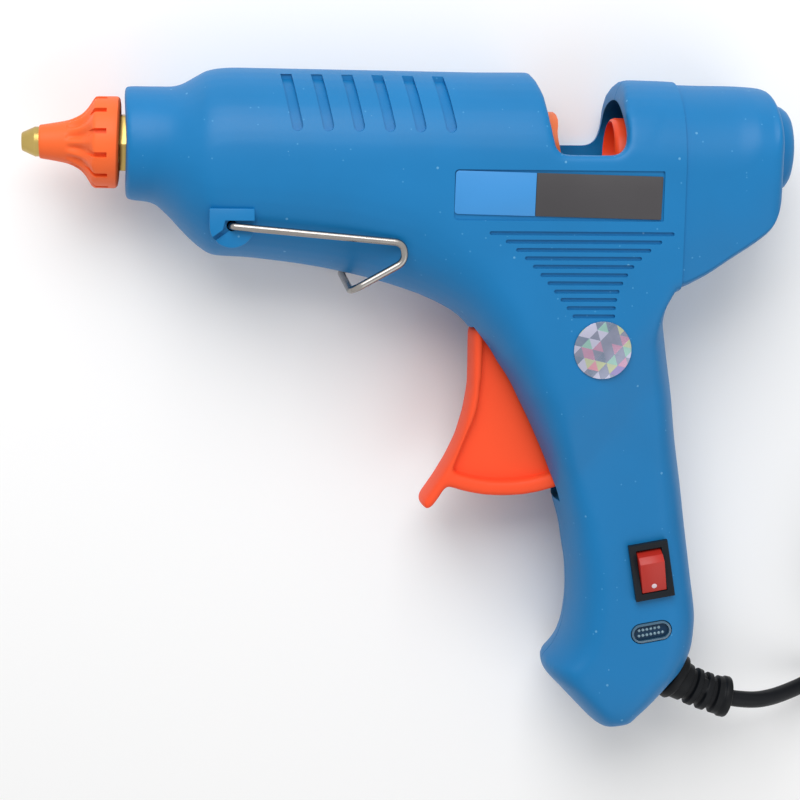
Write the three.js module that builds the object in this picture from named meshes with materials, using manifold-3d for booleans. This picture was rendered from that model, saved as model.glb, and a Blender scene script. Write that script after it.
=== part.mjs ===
// Hot-melt glue gun for 11 mm sticks, lying on its side.
// Drawn in millimetres about the gun's mid-plane: X from the nozzle to the rear, Y up the gun,
// Z across it. finish() then moves everything into the part's own frame.
import * as THREE from "three";
import { mergeVertices } from "three/addons/utils/BufferGeometryUtils.js";
import Module from "manifold-3d";

const wasm = await Module();
wasm.setup();

// ---------------------------------------------------------------- driving dimensions
const HALF_WIDTH = 21.5; // half the thickness of barrel and rear housing
const GRIP_HALF = 15.5; // half the thickness of the grip
const CENTRE = [1.55, -1.5]; // middle of the gun's outline, in X and Y
const AXIS_Y = 67.6; // height of the stick's axis
const STICK_R = 5.6;
const WALL = 2.4;
const ROOF = 3.2; // what the roof beside the stick window has over WALL
const SEAM = 0.3; // gap that touching pieces keep
const PLAY = 0.2; // a pin's running clearance in its hole, on the radius
const PIVOT = [27.5, 17.5]; // trigger pivot
const PIN_R = 2;
const TRIGGER_TURN = 22; // degrees of pull
const ARM = 31; // trigger pivot to the point that drives the carriage
const STAND_PIVOT = [-45.2, 48.2];
const WIRE_R = 0.9;
const SWITCH_AT = [66.3, -43.0];
const LAMP_AT = [67.2, -60.3];
const GRIP_TURN = 10; // lean of switch and lamp, degrees
const CORD_R = 2.3;
const COIL_R = 25; // middle of the turns
const COIL_SECTION = 15; // outer size of the wound bundle

const FAR = HALF_WIDTH + 1; // beyond the outer faces, where cuts run out
const ROOM = HALF_WIDTH - WALL; // half the room between the shells

// Sections of the barrel and grip, from the front collar to the end of the grip. Each runs from
// a point on the lower or front edge to a point on the upper or rear edge: [x, y] of the first,
// [x, y] of the second, half width, rounding at the first and at the second.
const BARREL_AND_GRIP = [
  [[-72.6, 53.6], [-72.6, 81.6], 14, 14, 14],
  [[-71.8, 52.9], [-71.8, 82.1], 14.6, 14.6, 14.6],
  [[-66.0, 52.2], [-66.0, 82.1], 15.0, 14.9, 14.9],
  [[-62.0, 49.2], [-60.6, 82.1], 16.4, 16.4, 16.4],
  [[-58.0, 44.9], [-58.0, 82.7], 18.2, 19.2, 19.2],
  [[-54.0, 41.1], [-54.4, 84.7], HALF_WIDTH - 1.5, 22, 21],
  [[-49.5, 38.6], [-50.4, 86.6], HALF_WIDTH - 0.3, 23, 21.5],
  [[-42.0, 38.2], [-44.0, 87.2], HALF_WIDTH, 24, 21.5],
  [[-26.0, 36.3], [-27.0, 87.1], HALF_WIDTH, 25, 21.5],
  [[-14.0, 34.0], [-12.0, 87.0], HALF_WIDTH, 26, 21.5],
  [[-3.0, 31.1], [4.0, 86.9], HALF_WIDTH, 26, 21.5],
  [[7.0, 27.5], [18.0, 86.8], HALF_WIDTH, 22, 22],
  [[14.8, 22.7], [34.0, 86.6], HALF_WIDTH, 19, 23],
  [[19.5, 18.9], [50.0, 85.2], HALF_WIDTH, 17, 23.5],
  [[23.5, 14.4], [62.0, 84.9], HALF_WIDTH, 15, 23.5],
  [[25.2, 11.8], [69.0, 84.8], HALF_WIDTH, 14, 24],
  [[26.6, 9.8], [73.0, 62.0], HALF_WIDTH, 13, 1],
  [[28.6, 6.2], [73.0, 48.0], HALF_WIDTH, 12, 1],
  [[31.0, 1.5], [73.0, 40.0], HALF_WIDTH, 11, 2],
  [[33.5, -3.0], [72.8, 34.0], HALF_WIDTH - 0.1, 11, 4],
  [[36.0, -8.0], [71.3, 29.0], HALF_WIDTH - 0.5, 10.5, 6.5],
  [[38.4, -13.4], [69.5, 24.5], HALF_WIDTH - 1.5, 10, 8.5],
  [[40.4, -18.0], [69.2, 19.5], HALF_WIDTH - 2.7, 9.5, 9.5],
  [[41.9, -22.0], [70.6, 12.1], GRIP_HALF + 1.9, 9, 9.5],
  [[42.8, -27.0], [72.1, 4.1], GRIP_HALF + 1.2, 9, 9.5],
  [[44.0, -34.0], [74.0, -8.9], GRIP_HALF + 0.6, 9, 9.5],
  [[45.0, -40.0], [76.1, -21.8], GRIP_HALF + 0.3, 9, 9.5],
  [[46.0, -46.0], [77.8, -33.3], GRIP_HALF + 0.1, 9, 9.5],
  [[46.3, -53.0], [80.0, -47.4], GRIP_HALF, 9, 9.5],
  [[45.7, -60.0], [81.5, -59.5], GRIP_HALF, 9, 9.5],
  [[44.2, -65.2], [81.1, -66.5], GRIP_HALF, 9, 9.5],
  [[41.7, -69.0], [79.9, -71.1], GRIP_HALF, 9, 9.5],
  [[39.6, -71.7], [78.4, -74.1], GRIP_HALF, 9, 9.5],
  [[40.6, -74.0], [76.4, -76.5], GRIP_HALF - 0.1, 9, 9.5],
  [[45.0, -78.6], [72.4, -81.2], GRIP_HALF - 0.4, 9, 9],
  [[50.0, -83.8], [69.2, -84.8], GRIP_HALF - 1.1, 8, 8],
  [[53.6, -87.3], [66.4, -87.4], GRIP_HALF - 2.5, 6, 6],
  [[56.2, -89.6], [64.2, -89.3], GRIP_HALF - 4.5, 4, 4],
  [[58.0, -90.2], [61.8, -90.0], GRIP_HALF - 6.5, 1.9, 1.9],
];

// The rear housing, in upright sections that start inside the barrel.
const REAR_HOUSING = [
  [[50.0, 44.0], [50.0, 85.1], HALF_WIDTH, 4, 21.5],
  [[64.0, 36.0], [62.0, 84.9], HALF_WIDTH, 4, 21.5],
  [[70.0, 31.0], [72.0, 84.8], HALF_WIDTH, 4, 21.5],
  [[76.0, 34.3], [77.5, 84.8], HALF_WIDTH, 4, 21.5],
  [[84.0, 39.3], [84.5, 84.8], HALF_WIDTH, 4, 21],
  [[90.0, 42.9], [90.0, 84.6], HALF_WIDTH, 4, 17],
  [[92.5, 44.6], [92.5, 84.4], HALF_WIDTH, 4, 17],
  [[94.3, 47.0], [94.3, 83.5], HALF_WIDTH - 0.4, 4.5, 14],
  [[95.4, 49.5], [95.3, 81.6], HALF_WIDTH - 1.2, 5, 12],
  [[96.1, 52.0], [96.0, 79.5], HALF_WIDTH - 2.4, 5, 11],
  [[96.4, 54.5], [96.4, 77.5], HALF_WIDTH - 4, 5, 10],
];

// ---------------------------------------------------------------- looks
function look(color, roughness, metalness = 0) {
  return new THREE.MeshStandardMaterial({ color, roughness, metalness });
}
const LOOKS = {
  blue: look(0x2479bd, 0.45),
  orange: look(0xf2552c, 0.42),
  silicone: look(0xef6a35, 0.6),
  brass: look(0xb89455, 0.32, 1),
  steel: look(0xaaa7a0, 0.3, 1),
  aluminium: look(0xa9abac, 0.45, 1),
  black: look(0x17181a, 0.5),
  rubber: look(0x1a1b1d, 0.7),
  red: look(0xd02a1d, 0.4),
  lens: look(0xb9c3ca, 0.12),
  board: look(0x2c3a4a, 0.6),
  darkLabel: look(0x47494a, 0.5),
  lightLabel: look(0x5aa0e6, 0.4),
  foil: look(0xc6c8cc, 0.25, 1),
  ceramic: look(0xd9d4c8, 0.8),
  sleeve: look(0xc9c2b4, 0.75),
};

// ---------------------------------------------------------------- solids
function solid(geometry) {
  geometry.deleteAttribute("normal");
  geometry.deleteAttribute("uv");
  const merged = mergeVertices(geometry, 1e-4);
  const mesh = new wasm.Mesh({
    numProp: 3,
    vertProperties: new Float32Array(merged.attributes.position.array),
    triVerts: new Uint32Array(merged.index.array),
  });
  mesh.merge();
  return new wasm.Manifold(mesh);
}

function surface(part) {
  const mesh = part.getMesh();
  const geometry = new THREE.BufferGeometry();
  geometry.setAttribute("position", new THREE.BufferAttribute(new Float32Array(mesh.vertProperties), 3));
  geometry.setIndex(new THREE.BufferAttribute(new Uint32Array(mesh.triVerts), 1));
  return geometry;
}

function join(...parts) {
  return parts.reduce((whole, part) => whole.add(part));
}

function box(x0, x1, y0, y1, z0, z1) {
  const geometry = new THREE.BoxGeometry(x1 - x0, y1 - y0, z1 - z0);
  geometry.translate((x0 + x1) / 2, (y0 + y1) / 2, (z0 + z1) / 2);
  return solid(geometry);
}

// A flat outline pulled from z0 to z1.
function prism(points, z0, z1) {
  const shape = new THREE.Shape(points.map(([x, y]) => new THREE.Vector2(x, y)));
  const geometry = new THREE.ExtrudeGeometry(shape, { depth: z1 - z0, bevelEnabled: false });
  geometry.translate(0, 0, z0);
  return solid(geometry);
}

function arc(cx, cy, radius, from, to, steps = 8) {
  const points = [];
  for (let i = 0; i <= steps; i++) {
    const angle = THREE.MathUtils.degToRad(from + ((to - from) * i) / steps);
    points.push([cx + radius * Math.cos(angle), cy + radius * Math.sin(angle)]);
  }
  return points;
}

// A disc or pin along Z.
function pin(x, y, radius, z0, z1, sides = 20) {
  return prism(arc(x, y, radius, 0, 360 - 360 / sides, sides - 1), z0, z1);
}

// A turned piece along X: the profile lists [x, radius] and closes on the axis or on itself.
function turned(profile, y = AXIS_Y, z = 0, sides = 24) {
  const points = profile.map(([x, radius]) => new THREE.Vector2(radius, x));
  const geometry = new THREE.LatheGeometry(points, sides);
  geometry.rotateZ(-Math.PI / 2);
  geometry.translate(0, y, z);
  return solid(geometry);
}

function rod(x0, x1, radius, y = AXIS_Y, z = 0, sides = 24) {
  return turned([[x0, 0], [x0, radius], [x1, radius], [x1, 0]], y, z, sides);
}

function capsule([x0, y0], [x1, y1], radius, z0, z1) {
  const lean = THREE.MathUtils.radToDeg(Math.atan2(y1 - y0, x1 - x0));
  const points = [
    ...arc(x1, y1, radius, lean - 90, lean + 90),
    ...arc(x0, y0, radius, lean + 90, lean + 270),
  ];
  return prism(points, z0, z1);
}

// A round bar along a route of points, each corner rounded over its own length on both sides.
function bentBar(route, radius, sides, steps) {
  const corners = route.map(([x, y, z]) => new THREE.Vector3(x, y, z));
  const path = new THREE.CurvePath();
  let start = corners[0];
  for (let i = 1; i < corners.length - 1; i++) {
    const bend = route[i][3];
    const before = corners[i].clone().lerp(start, bend / corners[i].distanceTo(start));
    const after = corners[i].clone().lerp(corners[i + 1], bend / corners[i].distanceTo(corners[i + 1]));
    path.add(new THREE.LineCurve3(start, before));
    path.add(new THREE.QuadraticBezierCurve3(before, corners[i], after));
    start = after;
  }
  path.add(new THREE.LineCurve3(start, corners.at(-1)));
  return extruded(path, radius, sides, steps);
}

// ---------------------------------------------------------------- body form
function cross([ax, ay], [bx, by]) {
  return ax * by - ay * bx;
}

function unit(from, to) {
  const length = Math.hypot(to[0] - from[0], to[1] - from[1]);
  return [(to[0] - from[0]) / length, (to[1] - from[1]) / length];
}

// Moves every section in by a wall thickness, with a thicker roof beside the stick window.
function inset(sections, wall, roof = 0) {
  return sections.map(([first, second, half, r0, r1], i) => {
    const before = sections[Math.max(i - 1, 0)];
    const after = sections[Math.min(i + 1, sections.length - 1)];
    const across = unit(first, second);
    const in0 = wall / Math.max(0.45, Math.abs(cross(across, unit(before[0], after[0]))));
    const in1 = wall / Math.max(0.45, Math.abs(cross(across, unit(before[1], after[1]))));
    const top = second[0] > 20 && second[0] < 66 && second[1] > 80 ? in1 + roof : in1;
    return [
      [first[0] + across[0] * in0, first[1] + across[1] * in0],
      [second[0] - across[0] * top, second[1] - across[1] * top],
      half - wall,
      Math.max(r0 - in0, 1),
      Math.max(r1 - top, 1),
    ];
  });
}

// One closed ring of a section, with quarter ellipses at both ends.
function sectionRing([first, second, half, r0, r1], steps) {
  const across = unit(first, second);
  const length = Math.hypot(second[0] - first[0], second[1] - first[1]);
  const side = [];
  for (let i = 0; i <= steps; i++) {
    const angle = (Math.PI / 2) * (i / steps);
    side.push([r0 * (1 - Math.cos(angle)), half * Math.sin(angle)]);
  }
  for (let i = steps; i >= 0; i--) {
    const angle = (Math.PI / 2) * (i / steps);
    side.push([length - r1 * (1 - Math.cos(angle)), half * Math.sin(angle)]);
  }
  const back = side.slice(1, -1).reverse();
  const outline = [...side, ...back.map(([along, z]) => [along, -z])];
  return outline.map(([along, z]) => [first[0] + across[0] * along, first[1] + across[1] * along, z]);
}

function loft(sections, steps = 5) {
  const rings = sections.map((section) => sectionRing(section, steps));
  const count = rings[0].length;
  const positions = rings.flat(2);
  const index = [];
  for (let k = 0; k < rings.length - 1; k++) {
    for (let i = 0; i < count; i++) {
      const a = k * count + i;
      const b = k * count + ((i + 1) % count);
      index.push(a, a + count, b, b, a + count, b + count);
    }
  }
  // The end caps pair the points of the two sides.
  for (const [base, flip] of [[0, false], [(rings.length - 1) * count, true]]) {
    const half = count / 2;
    for (let i = 0; i < half; i++) {
      const quad = [base + i, base + i + 1, base + ((count - i - 1) % count), base + ((count - i) % count)];
      const faces = [[quad[0], quad[1], quad[2]], [quad[0], quad[2], quad[3]]];
      for (const face of faces.filter((f) => new Set(f).size === 3)) {
        index.push(...(flip ? face.toReversed() : face));
      }
    }
  }
  const geometry = new THREE.BufferGeometry();
  geometry.setAttribute("position", new THREE.Float32BufferAttribute(positions, 3));
  geometry.setIndex(index);
  return solid(geometry);
}

// ---------------------------------------------------------------- the two shells
// The stick window, an upright notch through both shells.
const WINDOW = [
  [29.6, 92], [30.6, 86.2], [32.4, 82.8], [34.4, 77.8], [35.9, 72.6], [36.9, 68.8], [38.2, 67.2], [40.4, 66.9],
  [51.8, 66.9], [53.7, 67.7], [54.7, 69.6], [55.0, 73.5], [55.6, 77.5], [56.5, 80.8], [58.2, 83.4], [61, 85.4],
  [64, 92],
];
const TRIGGER_HALF = 7.2;
const TRIGGER_SLOT = [
  [13, 16], [19.6, 22], [28, 26], [40, 12], [50, -6], [54, -22], [43, -26.2], [38, -26.2], [24, -2],
];
const REAR_STEP = { x: 70.7, y: 39, depth: 0.6 }; // the rear housing stands back by this much
const BOSS_R = 12.6; // round end of the rear housing
const BULKHEAD = 2;
const BULKHEADS = [-62, -12]; // front faces
const RAIL = 2;
const SCREWS = [[-34, 44.5], [-4, 39], [80, 78], [89, 48], [62, 22], [52.5, -38], [74.5, -54], [48.5, -72]];
const SCREW_R = 1.4;
const SCREW_HEAD_R = 2.6;
const SCREW_SEAT = 1.9 - GRIP_HALF; // the heads bear here, from the right side
const SCREW_END = GRIP_HALF - 4.5;
const SPRING_POST = [57.5, 32];
const BRACKET = { x0: -50.9, x1: -39.5, radius: 5.7, z0: 12, z1: ROOM - 0.2 };
const VENTS = 6;
const VENT_PITCH = 7.78;
const VENT_R = 1.4;
const VENT_TOP = 85.9;
const GROOVES = 11;
const GROOVE_PITCH = 2.13;
const GROOVE = { top: 47.1, height: 1, depth: 0.7 };
const LABEL = { x0: 10.9, x1: 64.9, y0: 50.8, y1: 63.2, depth: 0.6 };
const LABEL_GAP = 0.5;
const LABEL_SPLIT = 31.75; // where the light and the dark label meet
const STICKER_AT = [50.2, 17.0];
const STICKER_R = 7.7;
const SWITCH = { half: 4.3, length: 6.7, rim: 1, wall: 0.6 }; // cut-out and bezel of the switch
const LAMP = { half: 2.8, radius: 2.6 }; // a stadium: half its straight length, its end radius

function turnedAbout(part, [x, y], degrees) {
  const geometry = surface(part);
  geometry.rotateZ(THREE.MathUtils.degToRad(degrees));
  geometry.translate(x, y, 0);
  return solid(geometry);
}

// Blind slots over both shoulders of the barrel, leaning back as they go down.
function vents() {
  const slots = [];
  for (let i = 0; i < VENTS; i++) {
    const x = -31.8 + i * VENT_PITCH;
    slots.push(capsule([x, VENT_TOP + 2.1], [x + 2.9, VENT_TOP - 11.9], VENT_R, -FAR, FAR));
  }
  const zone = bothSides((z0, z1) => box(-40, 20, VENT_TOP - 16, VENT_TOP, z0, z1), 6.5, FAR);
  return join(...slots).intersect(zone).subtract(loft(inset(BARREL_AND_GRIP.slice(4, 15), 1.4)));
}

// The rows of short grooves narrow downwards to follow the housing into the grip.
function grooves() {
  const cuts = [];
  for (let i = 0; i < GROOVES; i++) {
    const y = GROOVE.top - i * GROOVE_PITCH;
    const down = i / (GROOVES - 1);
    const x0 = 20.1 + 22 * down ** 0.72;
    const x1 = 53.2 + 14.7 * (1 - down) ** 2.3;
    cuts.push(bothSides((z0, z1) =>
      box(x0, x1, y - GROOVE.height / 2, y + GROOVE.height / 2, z0, z1), HALF_WIDTH - GROOVE.depth, FAR));
  }
  return cuts;
}

// A solid and its mirror image across the mid-plane, from one depth range.
function bothSides(make, z0, z1) {
  return join(make(z0, z1), make(-z1, -z0));
}

function bodyInset(wall) {
  return loft(inset(BARREL_AND_GRIP, wall)).add(loft(inset(REAR_HOUSING, wall)));
}

function bodyForm() {
  const outer = loft(BARREL_AND_GRIP).add(loft(REAR_HOUSING));
  const rearStep = box(REAR_STEP.x, 110, REAR_STEP.y, 90, -FAR, FAR).subtract(bodyInset(REAR_STEP.depth));
  const boss = turned([
    [88, 0], [88, BOSS_R], [97.8, BOSS_R - 0.1], [99.8, BOSS_R - 0.6], [101.2, BOSS_R - 1.8],
    [101.9, BOSS_R - 3.4], [101.9, 0],
  ]);
  const cavity = join(
    loft(inset(BARREL_AND_GRIP, WALL, ROOF).slice(2, -2), 3),
    loft(inset(REAR_HOUSING, WALL, ROOF).slice(0, -3), 3),
  );
  return outer.subtract(rearStep).add(boss).subtract(cavity).subtract(vents());
}

// Bulkheads, slide rails, pivot and screw bosses inside the shells, and the stand's brackets.
function fittings() {
  const [front, rear] = BULKHEADS.map((x, i) => box(x, x + BULKHEAD, [30, 48][i], 95, -FAR, FAR));
  const passage = join(rod(-66, -50, CHAMBER_R + 0.5), rod(-20, 0, SLEEVE_FLANGE_R + SEAM));
  const rails = [PLATE.y0 - SEAM - RAIL, PLATE.y1 + SEAM].map((y) =>
    bothSides((z0, z1) => box(12, 76, y, y + RAIL, z0, z1), 14.5, HALF_WIDTH));
  const inner = join(
    front.add(rear).subtract(passage),
    ...rails,
    bothSides((z0, z1) => pin(...PIVOT, PIN_R + 2.6, z0, z1), TRIGGER_HALF + 0.8, HALF_WIDTH),
    ...SCREWS.map((at) => pin(...at, 4.2, -HALF_WIDTH, SCREW_SEAT + 3, 14)),
    ...SCREWS.map((at) => pin(...at, 3.2, SCREW_SEAT + 2.6, HALF_WIDTH, 14)),
    pin(...SPRING_POST, 1.8, -HALF_WIDTH, HALF_WIDTH),
    leaned(box(-6.2, 1.2, -9, 9, -HALF_WIDTH, HALF_WIDTH)),
  );
  const { x0, x1, radius, z0: inside, z1: outside } = BRACKET;
  const bracket = bothSides((z0, z1) => pin(...STAND_PIVOT, radius, z0, z1), inside, outside);
  const block = bothSides((z0, z1) => box(x0, x1, STAND_PIVOT[1], 53, z0, z1), inside, outside);
  const hidden = inner.intersect(bodyInset(WALL / 2));
  return join(hidden, bracket, block);
}

function shellCuts() {
  const cuts = [
    prism(WINDOW, -FAR, FAR),
    prism(TRIGGER_SLOT, -TRIGGER_HALF - 0.4, TRIGGER_HALF + 0.4),
    pin(...PIVOT, PIN_R + PLAY, -PIN_HALF - PLAY, PIN_HALF + PLAY),
    bothSides((z0, z1) => pin(...STAND_PIVOT, WIRE_R + PLAY, z0, z1), BRACKET.z0 + 1, FAR),
    rod(-80, -64, 9.3),
    rod(86, 110, STICK_R + 1),
    leaned(rod(-12, 5, RELIEF_NECK_R + SEAM, 0, 0, 24)),
    collared(rod(-COLLAR_LENGTH - SEAM, 12, COLLAR_R + SEAM, 0, 0, 24)),
    ...SCREWS.map((at) => pin(...at, SCREW_R + PLAY, -FAR, SCREW_END + SEAM, 12)),
    ...SCREWS.map((at) => pin(...at, SCREW_HEAD_R + SEAM, -FAR, SCREW_SEAT, 16)),
    ...grooves(),
  ];
  return join(...cuts);
}

function leftCuts() {
  const { half, length } = SWITCH;
  const { half: lampHalf, radius } = LAMP;
  return join(
    box(LABEL.x0, LABEL.x1, LABEL.y0, LABEL.y1, HALF_WIDTH - LABEL.depth, FAR),
    turnedAbout(box(-half - SEAM, half + SEAM, -length - SEAM, length + SEAM, 2, FAR), SWITCH_AT, GRIP_TURN),
    turnedAbout(capsule([-lampHalf, 0], [lampHalf, 0], radius + 0.25, 2, FAR), LAMP_AT, GRIP_TURN),
  );
}

function shells() {
  const whole = bodyForm().add(fittings()).subtract(shellCuts());
  const upper = box(-120, 120, -120, 120, SEAM / 2, FAR);
  const lower = box(-120, 120, -120, 120, -FAR, -SEAM / 2);
  const saddle = leaned(box(...CLAMP_X, -CLAMP_HALF, CLAMP_HALF, 1.3 - GRIP_HALF, -0.45));
  const seats = leaned(join(rod(-20, 0, CORD_R + 0.1, 0, 0, 24), ...CLAMP_SCREWS.map((y) => clampHole(y))));
  return {
    left: whole.intersect(upper).subtract(leftCuts()),
    right: whole.intersect(lower).add(saddle).subtract(seats),
  };
}

// ---------------------------------------------------------------- nozzle and heater
const TIP_FACE = -98.8; // front of the brass tip
const TIP_R = 3.75;
const TIP_SHANK_R = 5.2;
const HEX_R = 8.1;
const SHANK_START = -84.6; // the tip is thicker from here back
const BALL_R = 2.1;
const BALL_X = -92.1;
const SPRING_R = 1.8;
const SPRING_SEAT = -79.7;
const COVER_FACE = -94.3;
const COVER_R = 11.8;
const FLUTES = 12;
const CHAMBER_R = 9.5;
const CHAMBER_END = -14;
const MELT_R = STICK_R + SEAM; // bore that the stick melts in
const HEATER = { x0: -51, x1: -19, half: 7, thick: 2.7, wall: 1.3 };
const HEATER_TOP = AXIS_Y - CHAMBER_R - 1.1; // roof of the heater's pocket
const CLIP = { x0: -42, x1: -28, thick: 1, top: 61 };
const SLEEVE_WALL = 1.5;
const SLEEVE_R = STICK_R + 0.5 + SLEEVE_WALL;
const SLEEVE_FLANGE_R = SLEEVE_R + 1.1;

function hexPrism(x0, x1, radius) {
  return turned([[x0, 0], [x0, radius], [x1, radius], [x1, 0]], AXIS_Y, 0, 6);
}

function nozzleTip() {
  const form = turned([
    [TIP_FACE, 0], [TIP_FACE, 2.1], [TIP_FACE + 3.4, TIP_R], [SHANK_START, TIP_R], [SHANK_START, TIP_SHANK_R],
    [-64.3, TIP_SHANK_R], [-64.3, 0],
  ]);
  const bore = turned([
    [TIP_FACE - 1, 0], [TIP_FACE - 1, 0.9], [TIP_FACE + 2.6, 0.9], [-94.6, BALL_R + 0.4], [-80, BALL_R + 0.4],
    [-80, BALL_R + 1], [-64, BALL_R + 1], [-64, 0],
  ], AXIS_Y, 0, 20);
  return form.add(hexPrism(-73.9, -70.4, HEX_R)).subtract(bore);
}

function nozzleCover() {
  const mouth = TIP_R + SEAM;
  const inside = TIP_SHANK_R + SEAM;
  const ledge = SHANK_START - SEAM;
  const form = turned([
    [COVER_FACE, mouth], [COVER_FACE, 4.4], [-90.6, 4.9], [-87.5, 5.6], [-84.8, 6.8], [-82.6, 8.3],
    [-81.2, 10.0], [-80.3, COVER_R - 0.4], [-79.9, COVER_R], [-74.6, COVER_R], [-74.2, COVER_R - 0.4],
    [-74.2, inside], [ledge, inside], [ledge, mouth], [COVER_FACE, mouth],
  ], AXIS_Y, 0, 30);
  const floor = turned([[-90, 0], [-90, 4.9], [-76, 10.2], [-76, 0]], AXIS_Y, 0, 30);
  const flute = [[-87.5, -0.25], [-79, -0.95], [-76.4, 0], [-79, 0.95], [-87.5, 0.25]];
  let cover = form;
  for (let i = 0; i < FLUTES; i++) {
    const geometry = surface(prism(flute, 4, COVER_R + 1));
    geometry.rotateX(THREE.MathUtils.degToRad((360 / FLUTES) * (i + 0.5)));
    geometry.translate(0, AXIS_Y, 0);
    cover = cover.subtract(solid(geometry).subtract(floor));
  }
  return cover;
}

function helix(x0, x1, radius, wire, turns, y) {
  const perTurn = 8;
  const points = [];
  for (let i = 0; i <= turns * perTurn; i++) {
    const angle = (2 * Math.PI * i) / perTurn;
    const x = x0 + ((x1 - x0) * i) / (turns * perTurn);
    points.push(new THREE.Vector3(x, y + radius * Math.sin(angle), radius * Math.cos(angle)));
  }
  return extruded(new THREE.CatmullRomCurve3(points), wire, 5, turns * perTurn);
}

function springSeat() {
  return turned([
    [SPRING_SEAT, 1.2], [SPRING_SEAT, BALL_R + 0.7], [SPRING_SEAT + 1.7, BALL_R + 0.7],
    [SPRING_SEAT + 1.7, 1.2], [SPRING_SEAT, 1.2],
  ]);
}

function heatingChamber() {
  const { x0, x1, half, thick, wall } = HEATER;
  const form = turned([
    [-70, 0], [-70, CHAMBER_R - 0.6], [-58, CHAMBER_R - 0.6], [-58, CHAMBER_R],
    [CHAMBER_END, CHAMBER_R], [CHAMBER_END, 0],
  ]);
  const bore = turned([
    [-71, 0], [-71, TIP_SHANK_R + SEAM], [-64, TIP_SHANK_R + SEAM], [-64, 1.6], [-60, 1.6],
    [-52, MELT_R], [CHAMBER_END + 1, MELT_R], [CHAMBER_END + 1, 0],
  ]);
  const floor = HEATER_TOP - thick - 2 * SEAM;
  const channel = box(x0 - 1, x1 + 1, floor - wall, AXIS_Y - CHAMBER_R / 2, -half - 2, half + 2);
  const pocket = box(x0 - 2, x1 + 2, floor, HEATER_TOP, -half - SEAM, half + SEAM);
  return form.add(channel).subtract(bore).subtract(pocket);
}

function heaterPlate() {
  const { x0, x1, half, thick } = HEATER;
  return box(x0, x1, HEATER_TOP - SEAM - thick, HEATER_TOP - SEAM, -half, half);
}

function heaterClip() {
  const { x0, x1, thick, top } = CLIP;
  const side = HEATER.half + 2 + SEAM;
  const under = HEATER_TOP - HEATER.thick - 3 * SEAM - HEATER.wall;
  return box(x0, x1, under - thick, top, -side - thick, side + thick)
    .subtract(box(x0 - 1, x1 + 1, under, top + 1, -side, side));
}

function inletSleeve() {
  const bore = SLEEVE_R - SLEEVE_WALL;
  const x0 = CHAMBER_END + SEAM;
  return turned([
    [x0, bore], [x0, SLEEVE_FLANGE_R], [-8, SLEEVE_FLANGE_R], [-8, SLEEVE_R], [18, SLEEVE_R], [18, bore],
    [x0, bore],
  ]);
}

function sleeveRing() {
  const inside = SLEEVE_R + SEAM;
  const outside = inside + 0.9;
  return turned([[-6, inside], [-6, outside], [-3.5, outside], [-3.5, inside], [-6, inside]]);
}

// ---------------------------------------------------------------- trigger and feed
const TIP_LEAN = THREE.MathUtils.degToRad(TRIGGER_TURN / 2); // the arm swings evenly past upright
const ARM_TIP = [PIVOT[0] + ARM * Math.sin(TIP_LEAN), PIVOT[1] + ARM * Math.cos(TIP_LEAN)];
const ARM_TIP_R = 3;
const ARM_HALF = 3;
const PIN_HALF = TRIGGER_HALF + 3.2;
const BLADE_R = 42.2; // bottom edge of the trigger, about its pivot
const FLANGE = 4.2;
const PLATE = { x0: 27.3, x1: 66, y0: 51.9, y1: 56.1, half: ROOM - 0.7 };
const LEVER_PIN = [40.5, 58.4];
const LEVER_PIN_R = 0.9;
const LEVER = { x0: 36.2, x1: 39.6, radius: 9.2, foot: 4.9 };
const EAR = 2.6;
const LUG = 2.8;
const RING = { x: 54.5, y: 65.2, radius: 10.2 };

function trigger() {
  const front = [
    [19.2, 20.6], [17.9, 19], [18, 12], [18, 4], [17, -3], [15.2, -9.6], [12.2, -15.6], [8.9, -20.7],
    [6.4, -25], [5.8, -27.4], [6.8, -29.4], [8.8, -29.8], [10.6, -28.6],
  ];
  const frontInner = [[21.4, 20], [21.2, 7.6], [20, -2.3], [18, -9]];
  const flange = prism([
    ...front,
    ...arc(...PIVOT, BLADE_R, -110, -68, 10),
    ...arc(...PIVOT, BLADE_R - FLANGE, -68, -109, 10),
    ...frontInner.toReversed(),
  ], -TRIGGER_HALF, TRIGGER_HALF);
  const web = prism([
    [20.5, 19.5], [20.4, 7.6], [19.2, -2.3], [17, -9.6],
    ...arc(...PIVOT, BLADE_R - FLANGE + 1.1, -109, -68.5, 10),
    [33, 17.5], [27.5, 23],
  ], -4, 4);
  return join(
    flange,
    web,
    pin(...PIVOT, PIN_R + 4, -TRIGGER_HALF, TRIGGER_HALF),
    capsule(PIVOT, ARM_TIP, 2, -ARM_HALF, ARM_HALF),
    pin(...ARM_TIP, ARM_TIP_R, -ARM_HALF, ARM_HALF),
  ).subtract(pin(...PIVOT, PIN_R + PLAY, -TRIGGER_HALF - 1, TRIGGER_HALF + 1));
}

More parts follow.
